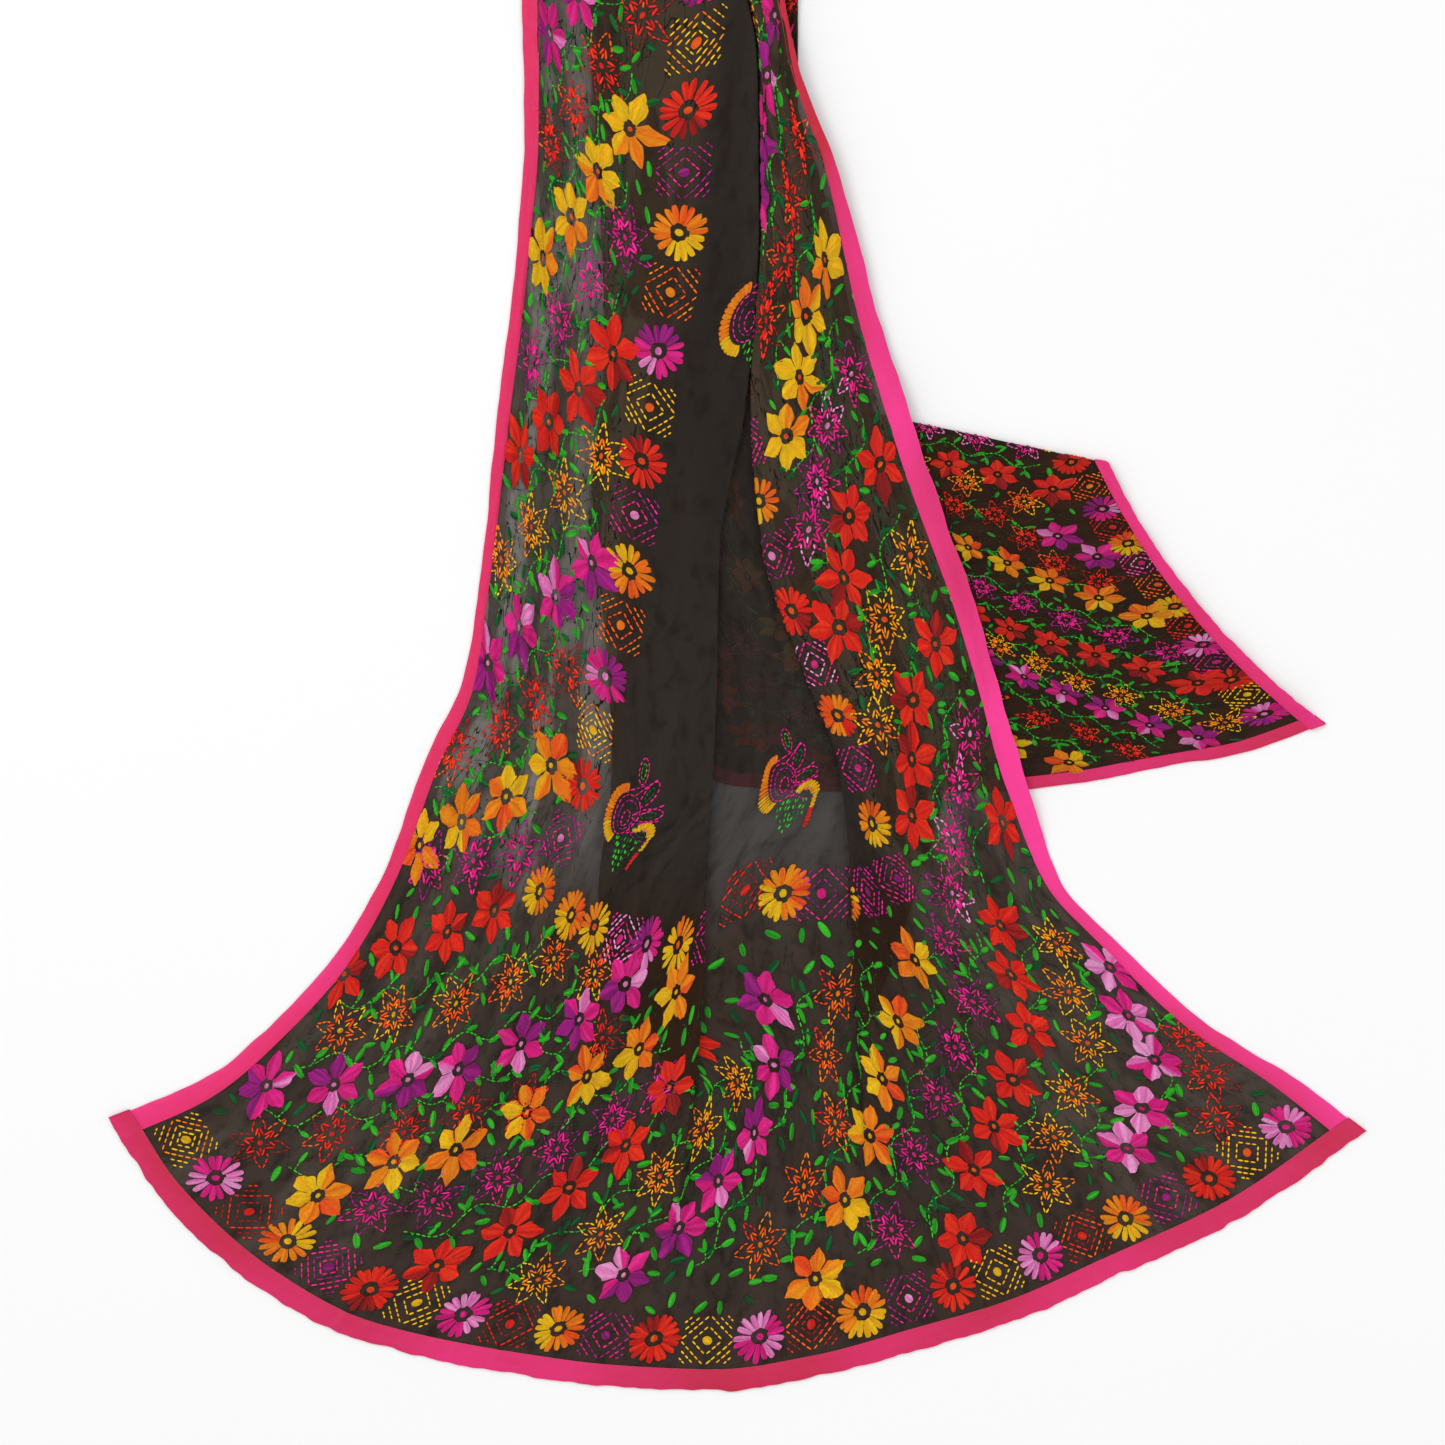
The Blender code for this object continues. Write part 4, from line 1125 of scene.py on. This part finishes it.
# The pattern, row by row: motif, floss, the places (u, v) that the row passes, and how many motifs.
panelRows = [
    (flower, "red", ((18, 186), (48, 222), (87, 252), (120, 282)), 4),
    (star, "orange", ((48, 159), (78, 189), (126, 219), (165, 249), (195, 276), (246, 280)), 6),
    (flower, "magenta", ((36, 99), (75, 132), (123, 162), (158, 183), (201, 216), (246, 246),
                         (282, 276)), 7),
    (star, "deepRed", ((66, 72), (102, 108), (147, 132), (186, 162), (228, 182), (276, 240)), 6),
    (flower, "orange", ((126, 72), (156, 114), (195, 138), (235, 176), (276, 213), (315, 237),
                        (340, 272)), 7),
    (star, "purple", ((165, 84), (200, 104), (238, 129), (276, 159), (312, 186), (350, 212)), 6),
    (flower, "red", ((234, 65), (270, 99), (300, 135), (333, 171), (360, 210), (400, 246), (446, 240)), 7),
    (star, "gold", ((309, 70), (342, 108), (375, 150), (412, 180), (452, 204)), 5),
    (flower, "magenta", ((372, 80), (405, 112), (436, 142), (472, 168), (500, 204), (522, 246)), 6),
    (star, "flame", ((477, 96), (516, 126), (556, 160), (561, 205), (579, 243), (620, 276)), 6),
    (flower, "orange", ((516, 66), (549, 111), (591, 147), (622, 183), (669, 219), (717, 256)), 6),
    (star, "purple", ((579, 84), (624, 129), (666, 162), (708, 190), (753, 216), (766, 262)), 6),
    (flower, "red", ((633, 66), (666, 108), (702, 132), (741, 156), (783, 183), (804, 222), (832, 256)), 7),
    (star, "gold", ((711, 78), (741, 108), (780, 132), (825, 159), (840, 194), (867, 228)), 6),
    (flower, "pink", ((783, 81), (818, 102), (858, 126), (872, 160), (894, 195)), 5),
    (star, "deepRed", ((852, 68), (879, 96), (894, 124)), 3),
]
leftRows = [
    (star, "purple", ((123, 324), (42, 279)), 3), (flower, "orange", ((123, 384), (26, 285)), 4),
    (star, "deepRed", ((126, 450), (24, 351)), 4), (flower, "magenta", ((142, 528), (27, 414)), 4),
    (star, "gold", ((138, 600), (28, 483)), 4), (flower, "red", ((136, 669), (40, 561)), 4),
    (star, "purple", ((130, 747), (38, 624)), 4), (flower, "gold", ((130, 822), (38, 693)), 4),
    (star, "deepRed", ((132, 894), (40, 771)), 4), (flower, "magenta", ((132, 969), (40, 846)), 4),
    (star, "gold", ((132, 1044), (40, 921)), 4), (flower, "red", ((132, 1119), (40, 996)), 4),
    (star, "purple", ((132, 1176), (40, 1071)), 4), (flower, "orange", ((78, 1170), (40, 1130)), 2),
]
rightRows = [
    (flower, "red", ((876, 316), (868, 290)), 1), (star, "magenta", ((868, 381), (795, 288)), 4),
    (flower, "red", ((862, 447), (819, 420), (800, 381), (786, 345)), 4),
    (star, "gold", ((868, 507), (819, 480), (792, 447), (774, 414)), 4),
    (flower, "red", ((868, 567), (824, 550), (798, 516), (776, 488)), 4),
    (star, "magenta", ((870, 639), (828, 614), (801, 582), (780, 556)), 4),
    (flower, "gold", ((870, 717), (834, 690), (812, 657), (786, 624)), 4),
    (star, "deepRed", ((870, 792), (786, 700)), 4), (flower, "magenta", ((870, 868), (786, 776)), 4),
    (star, "gold", ((870, 944), (786, 850)), 4), (flower, "red", ((870, 1018), (786, 926)), 4),
    (star, "purple", ((870, 1094), (786, 1000)), 4), (flower, "orange", ((870, 1168), (786, 1076)), 4),
]
hemCycle = [(diamond, "gold"), (daisy, "pink"), (diamond, "deepRed"), (daisy, "orange"),
            (diamond, "magenta"), (daisy, "red")]
leftCycle = [(diamond, "gold"), (daisy, "red"), (diamond, "magenta"), (daisy, "orange"),
             (diamond, "flame"), (daisy, "magenta")]
rightCycle = [(daisy, "orange"), (diamond, "magenta"), (daisy, "red"), (diamond, "pink"),
              (daisy, "flame"), (diamond, "purple")]
topChain = [(196, 306, daisy, "orange"), (228, 306, daisy, "gold"), (262, 303, diamond, "pink"),
            (289, 303, daisy, "magenta"), (328, 302, daisy, "gold"), (366, 303, diamond, "purple"),
            (424, 306, daisy, "red"), (519, 319, diamond, "deepRed"), (547, 310, daisy, "orange"),
            (570, 307, diamond, "purple"), (606, 306, daisy, "deepRed"), (640, 306, diamond, "flame"),
            (672, 306, daisy, "orange"), (706, 306, diamond, "magenta")]
# the chains of daisies and diamonds: along the hem, and up each side of the centre field
chains = {"hemFrom": 35, "hemGap": 34.0, "hemAt": 36.0, "hemCount": 26, "leftAt": 172.0, "leftFrom": 876.0,
          "leftGap": 37.8, "leftSteps": (-8, 16), "leftBend": (16.0, 515.0, 130.0), "rightAt": 744.0,
          "rightFrom": 588.0, "rightGap": 39.8, "rightSteps": (-15, 8)}
birds = [(200, 381, 1, "orange", 0.2), (224, 706, 1, "orange", 0.0), (494, 387, 1, "orange", 0.5),
         (224, 1016, 1, "orange", 0.0), (700, 700, -1, "gold", 0.0), (700, 1010, -1, "gold", 0.0)]


# in the strips the motifs are longer, of thicker thread and, near the chain, wider
stripGrow = {"wide": 1.02, "more": 0.30, "long": 1.10, "thread": 1.2, "fade": 50, "left": 70, "right": 850,
             "rightShare": 0.3}


def sewRows(s, rows, side=0):
    # side: which strip of the length the rows are in
    for motif, blend, places, count in rows:
        places, marks = np.array(places, float), np.arange(len(places))
        lengths, shares = runningSum(np.hypot(*np.diff(places, axis=0).T)), marks
        if count != len(places):
            shares = np.interp(np.linspace(0, lengths[-1], count), lengths, marks)
        for share in shares:
            u, v = (np.interp(share, marks, places[:, i]) + pick.uniform(-1.2, 1.2) for i in range(2))
            if side > 0:
                near = float(ease((u - stripGrow["left"]) / stripGrow["fade"]))
            elif side < 0:
                near = stripGrow["rightShare"] * float(ease((stripGrow["right"] - u) / stripGrow["fade"]))
            if side:
                s.grow = (stripGrow["wide"] + stripGrow["more"] * near, stripGrow["long"])
                s.thread = stripGrow["thread"]
            motif(s, u, v, blend)
    if side:
        s.grow, s.thread = (1.0, 1.0), 1.0


def sewVines(s, rows, spacing=13.0, farthest=170.0):
    # two stems run between one row of the pattern and the next
    for first, second in zip(rows[:-1], rows[1:]):
        a, b, c, d = (np.array(p, float) for p in (first[2][0], first[2][-1], second[2][0], second[2][-1]))
        if np.hypot(*(c - a)) <= farthest:
            vine(s, a * 0.5 + c * 0.5, b * 0.5 + d * 0.5, 6.0, spacing)
            vine(s, a * 0.35 + c * 0.65, b * 0.35 + d * 0.65, 5.0, spacing * 1.6, "float", 0.34)


floatShape = {"heading": (1.57, 0.5), "turn": 0.10, "steps": (2, 5), "step": 4.5,
              "stitch": (4.6, 0.4, 0.30), "clear": -2.0}


def sewFloats(s, uRange, vRange, count):
    # the dark ends of thread that show through from the back
    step, most = floatShape["step"], floatShape["turn"]
    for _ in range(count):
        u, v = pick.uniform(*uRange), pick.uniform(*vRange)
        angle = pick.normal(*floatShape["heading"])
        turn, path = pick.uniform(-most, most), [(u, v)]
        for _ in range(pick.randint(*floatShape["steps"])):
            u, v = u + step * math.cos(angle), v + step * math.sin(angle)
            angle += turn * 4
            path.append((u, v))
        runLine(s, path, "float", *floatShape["stitch"], floatShape["clear"])


front = Stitching(frontSurface)
for i in range(chains["hemCount"]):
    motif, blend = hemCycle[i % 6]
    motif(front, chains["hemFrom"] + chains["hemGap"] * i, chains["hemAt"] + pick.uniform(-1, 1), blend)
inward, bendFrom, bendOver = chains["leftBend"]
for i in range(*chains["leftSteps"]):
    motif, blend = leftCycle[i % 6]
    v = chains["leftFrom"] - chains["leftGap"] * i
    motif(front, chains["leftAt"] - inward * ease((bendFrom - v) / bendOver), v, blend)
for i in range(*chains["rightSteps"]):
    motif, blend = rightCycle[i % 6]
    motif(front, chains["rightAt"], chains["rightFrom"] - chains["rightGap"] * i, blend)
for u, v, motif, blend in topChain:
    motif(front, u, v, blend)
sewRows(front, panelRows)
sewRows(front, leftRows, 1)
sewRows(front, rightRows, -1)
for rows in (panelRows, leftRows, rightRows):
    sewVines(front, rows)
for place in birds:
    bird(front, *place)
for uRange, vRange, count in (((24, 896), (56, 292), 330), ((24, 152), (292, 1180), 190),
                              ((768, 896), (292, 1180), 190)):
    looseLeaves(front, uRange, vRange, count)
for uRange, vRange, count in (((18, 150), (290, 1180), 420), ((770, 902), (290, 1180), 360),
                              ((20, 900), (55, 290), 520)):
    sewFloats(front, uRange, vRange, count)
print("front sewn", len(front.patches), len(front.dashes))

backRows = [
    (star, "pink", ((632, 285), (505, 60)), 6),
    (flower, "red", ((592, 285), (486, 127), (466, 88), (440, 56)), 6),
    (flower, "magenta", ((374, 72), (336, 48)), 2), (star, "orange", ((552, 235), (429, 88)), 4),
    (star, "deepRed", ((512, 285), (432, 151), (413, 118), (383, 107), (344, 100), (300, 60)), 8),
    (flower, "orange", ((462, 305), (363, 158), (330, 128), (300, 95), (270, 64), (236, 40)), 8),
    (star, "purple", ((412, 315), (293, 160), (261, 132), (236, 100), (207, 68), (178, 44)), 8),
    (flower, "red", ((372, 345), (258, 203), (233, 173), (210, 135), (181, 102), (154, 70), (124, 42)), 9),
    (star, "gold", ((322, 335), (218, 211), (178, 175), (143, 144), (117, 108), (87, 77), (54, 50)), 9),
    (flower, "magenta", ((272, 325), (174, 217), (141, 177), (99, 138), (64, 108), (39, 81)), 8),
    (star, "deepRed", ((222, 345), (104, 229), (73, 193), (37, 160)), 6),
    (flower, "orange", ((182, 385), (36, 239)), 5), (star, "purple", ((142, 415), (36, 309)), 4),
    (flower, "red", ((112, 445), (36, 379)), 3),
    (flower, "orange", ((440, 560), (220, 400)), 5), (star, "magenta", ((400, 590), (190, 430)), 4),
    (flower, "red", ((360, 610), (150, 450)), 5), (flower, "magenta", ((280, 630), (60, 470)), 5),
]
backChain = [(49, 24, daisy, "magenta"), (85, 22, diamond, "gold"), (113, 22, daisy, "red"),
             (145, 21, diamond, "purple"), (175, 20, daisy, "pink"), (208, 19, diamond, "red"),
             (240, 18, daisy, "gold"), (276, 18, diamond, "flame"), (312, 19, diamond, "pink"),
             (343, 20, daisy, "orange"), (370, 24, diamond, "deepRed"), (398, 24, daisy, "magenta"),
             (432, 25, diamond, "flame"), (470, 30, daisy, "red"), (506, 32, diamond, "gold"),
             (542, 32, daisy, "pink")]
back = Stitching(backSurface, 0.82, 0.8)
for u, above, motif, blend in backChain:
    motif(back, u, backEnd - above, blend)
backRows = [(motif, blend, tuple((u, backEnd - above) for u, above in places), count)
            for motif, blend, places, count in backRows]
sewRows(back, backRows)
sewVines(back, backRows, 11.0)
looseLeaves(back, (24, 560), (backEnd - 330, backEnd - 46), 120, 11.0)
looseLeaves(back, (40, 420), (backEnd - 600, backEnd - 400), 50, 12.0)
sewFloats(back, (25, 520), (backEnd - 280, backEnd - 50), 200)
# the part of the folded edge that shows beside the front's long edge
for u, v, motif, blend in ((350, 448, flower, "purple"), (352, 490, star, "deepRed"),
                           (352, 408, star, "deepRed")):
    motif(back, u, v, blend)
looseLeaves(back, (322, 362), (380, 530), 12, 9.0)
print("back sewn", len(back.patches), len(back.dashes))


def makeSatinStitches(name, s, low, high):
    # the satin stitches that lie between two places up the cloth
    points, faces, uvs, colours, start = [], [], [], [], 0
    for u, v, out, colour, strand in s.patches:
        if not low <= float(np.mean(v)) < high:
            continue
        rows, columns = u.shape
        points.append((u.ravel(), v.ravel(), out.ravel()))
        faces.append(gridFaces(rows, columns, start))
        uvs.append(np.stack([strand.ravel(), np.repeat(np.linspace(0, 10, rows), columns)], axis=1))
        colours.append(colour.reshape(-1, 3) * s.shade)
        start += rows * columns
    u, v, out = (np.concatenate([p[i] for p in points]) for i in range(3))
    place, _ = s.surface.at(u, v, s.tuckedIn(u, v, out))
    place[:, 2] = np.maximum(place[:, 2], fold["floorGap"])
    piece = addMesh(name, place, np.concatenate(faces), flossSatin, np.concatenate(uvs),
                    np.concatenate(colours))
    print(name, len(piece.data.polygons) * 2, "triangles")
    return piece


# Running stitches: Geometry Nodes set a small rounded stitch on every point

stitchNodes = {"sides": 5, "rings": 3, "width": 1.0, "height": 1.0}


def makeStitchTree():
    tree = bpy.data.node_groups.new("runningStitches", "GeometryNodeTree")
    face = tree.interface
    face.new_socket("Geometry", in_out="INPUT", socket_type="NodeSocketGeometry")
    for name in ("Thread width", "Thread height"):
        face.new_socket(name, in_out="INPUT", socket_type="NodeSocketFloat").default_value = 1.0
    face.new_socket("Finish", in_out="INPUT", socket_type="NodeSocketMaterial")
    face.new_socket("Geometry", in_out="OUTPUT", socket_type="NodeSocketGeometry")

    def add(kind, settings=None, sockets=None):
        return addNode(tree, kind, settings, sockets).outputs

    given = add("NodeGroupInput")
    ball = add("GeometryNodeMeshUVSphere", {}, {
        "Segments": stitchNodes["sides"], "Rings": stitchNodes["rings"], "Radius": 1.0})
    along, up, size = (
        add("GeometryNodeInputNamedAttribute", {"data_type": "FLOAT_VECTOR"}, {"Name": key})[0]
        for key in ("along", "up", "size"))
    turn = add("FunctionNodeAxesToRotation", {"primary_axis": "Z", "secondary_axis": "X"},
               {0: along, 1: up})
    scale = add("ShaderNodeCombineXYZ", {}, {
        "X": given["Thread height"], "Y": given["Thread width"], "Z": 1.0})
    sized = add("ShaderNodeVectorMath", {"operation": "MULTIPLY"}, {0: size, 1: scale[0]})
    placed = add("GeometryNodeInstanceOnPoints", {}, {"Points": given["Geometry"], "Instance": ball["Mesh"],
                                                      "Rotation": turn[0], "Scale": sized[0]})
    real = add("GeometryNodeRealizeInstances", {}, {0: placed[0]})
    smooth = add("GeometryNodeSetShadeSmooth", {}, {0: real[0]})
    finish = add("GeometryNodeSetMaterial", {}, {"Geometry": smooth[0], "Material": given["Finish"]})
    add("NodeGroupOutput", {}, {0: finish[0]})
    return tree


stitchTree = makeStitchTree()


def makeRunningStitches(name, s, low, high):
    rows = np.array([d for d in s.dashes if low <= d[1] < high])
    u, v, du, dv, thick, high, out = rows[:, :7].T
    out = s.tuckedIn(u, v, out)
    first, _ = s.surface.at(u - du, v - dv, out)
    last, _ = s.surface.at(u + du, v + dv, out)
    middle, normal = s.surface.at(u, v, out)
    along = last - first
    reach = np.linalg.norm(along, axis=1) / 2
    fine = (reach > runStitch["shortest"]) & (reach < runStitch["longest"])
    along = along / np.maximum(reach, 1e-6)[:, None] / 2
    centre = (first + last) * 0.3 + middle * 0.4
    centre[:, 2] = np.maximum(centre[:, 2], runStitch["lowest"])
    mesh = bpy.data.meshes.new(name)
    mesh.from_pydata([tuple(p) for p in toMetres(centre[fine])], [], [])
    size = np.stack([high, thick, reach + runStitch["overlap"]], axis=1)[fine] * mm
    colour = np.concatenate([rows[fine, 7:10], np.ones((fine.sum(), 1))], axis=1)
    for key, values in (("along", along[fine]), ("up", normal[fine]), ("size", size), ("thread", colour)):
        kind, field = ("FLOAT_COLOR", "color") if key == "thread" else ("FLOAT_VECTOR", "vector")
        layer = mesh.attributes.new(key, kind, "POINT")
        layer.data.foreach_set(field, values.astype(np.float32).ravel())
    source = bpy.data.objects.new(name + "_points", mesh)
    bpy.context.scene.collection.objects.link(source)
    modifier = source.modifiers.new("stitches", "NODES")
    modifier.node_group = stitchTree
    sockets = {i.name: i.identifier for i in stitchTree.interface.items_tree if i.in_out == "INPUT"}
    modifier[sockets["Thread width"]] = stitchNodes["width"]
    modifier[sockets["Thread height"]] = stitchNodes["height"]
    modifier[sockets["Finish"]] = flossRun
    graph = bpy.context.evaluated_depsgraph_get()
    made = bpy.data.meshes.new_from_object(source.evaluated_get(graph), preserve_all_data_layers=True,
                                           depsgraph=graph)
    bpy.data.objects.remove(source)
    made.name = name
    for key in ("along", "up", "size"):
        if key in made.attributes:
            made.attributes.remove(made.attributes[key])
    piece = bpy.data.objects.new(name, made)
    bpy.context.scene.collection.objects.link(piece)
    made.calc_loop_triangles()
    print(name, len(made.loop_triangles), "triangles")
    return piece


# the stretches that the stitches are parted into, so that no piece has too many triangles
panelTop = 296.0
stretches = (("panel", front, -math.inf, panelTop), ("length", front, panelTop, math.inf),
             ("back", back, -math.inf, math.inf))
stitchPieces = [make(f"{kind}_stitches_{part}", s, low, high)
                for kind, make in (("satin", makeSatinStitches), ("running", makeRunningStitches))
                for part, s, low, high in stretches]

# What each piece stands for

for piece, node, slot in ((bodyFront, "body_front", "body_cloth"), (bodyBack, "body_back", "body_cloth"),
                          (leftBinding, "binding_left_front", "binding_cloth"),
                          (rightBinding, "binding_right_front", "binding_cloth"),
                          (hemBinding, "binding_hem_front", "binding_cloth"),
                          (longBinding, "binding_long_back", "binding_cloth"),
                          (backHemBinding, "binding_hem_back", "binding_cloth")):
    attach(piece, "root")
    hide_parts(node)
for piece in stitchPieces:
    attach(piece, "root")

# Floor, light and camera

stage = {"floor": 3.0, "below": -0.0004, "sky": 0.80, "aim": (0.0, -0.15, 0.0), "across": 0.9537,
         "height": 3.2, "sensor": 36.0, "centreX": -0.0098, "centreY": -0.1866}
floorMesh = bpy.data.meshes.new("floor")
f, z = stage["floor"], stage["below"]
floorMesh.from_pydata([(-f, -f, z), (f, -f, z), (f, f, z), (-f, f, z)], [], [(0, 1, 2, 3)])
floorMesh.materials.append(makeFloor())
floor = bpy.data.objects.new("floor", floorMesh)
bpy.context.scene.collection.objects.link(floor)

world = bpy.data.worlds.new("studio")
world.use_nodes = True
world.node_tree.nodes["Background"].inputs["Color"].default_value = (1.0, 1.0, 1.0, 1.0)
world.node_tree.nodes["Background"].inputs["Strength"].default_value = stage["sky"]
bpy.context.scene.world = world
bpy.context.scene.view_settings.view_transform = "Standard"

for name, place, power, size in (("keyLight", (-1.6, 1.2, 2.4), 26.0, 1.6),
                                 ("fillLight", (1.8, -0.6, 2.6), 14.0, 2.2)):
    lamp = bpy.data.lights.new(name, "AREA")
    lamp.energy, lamp.size = power, size
    holder = bpy.data.objects.new(name, lamp)
    holder.location = place
    toward = np.array(stage["aim"]) - np.array(place)
    holder.rotation_euler = (math.atan2(math.hypot(toward[0], toward[1]), -toward[2]), 0,
                             math.atan2(toward[1], toward[0]) - math.pi / 2)
    bpy.context.scene.collection.objects.link(holder)

lens = bpy.data.cameras.new("camera")
lens.sensor_width = stage["sensor"]
lens.sensor_fit = "HORIZONTAL"
lens.lens = stage["sensor"] * stage["height"] / stage["across"]
camera = bpy.data.objects.new("camera", lens)
camera.location = (stage["centreX"], stage["centreY"], stage["height"])
bpy.context.scene.collection.objects.link(camera)
bpy.context.scene.camera = camera
print("stage set")
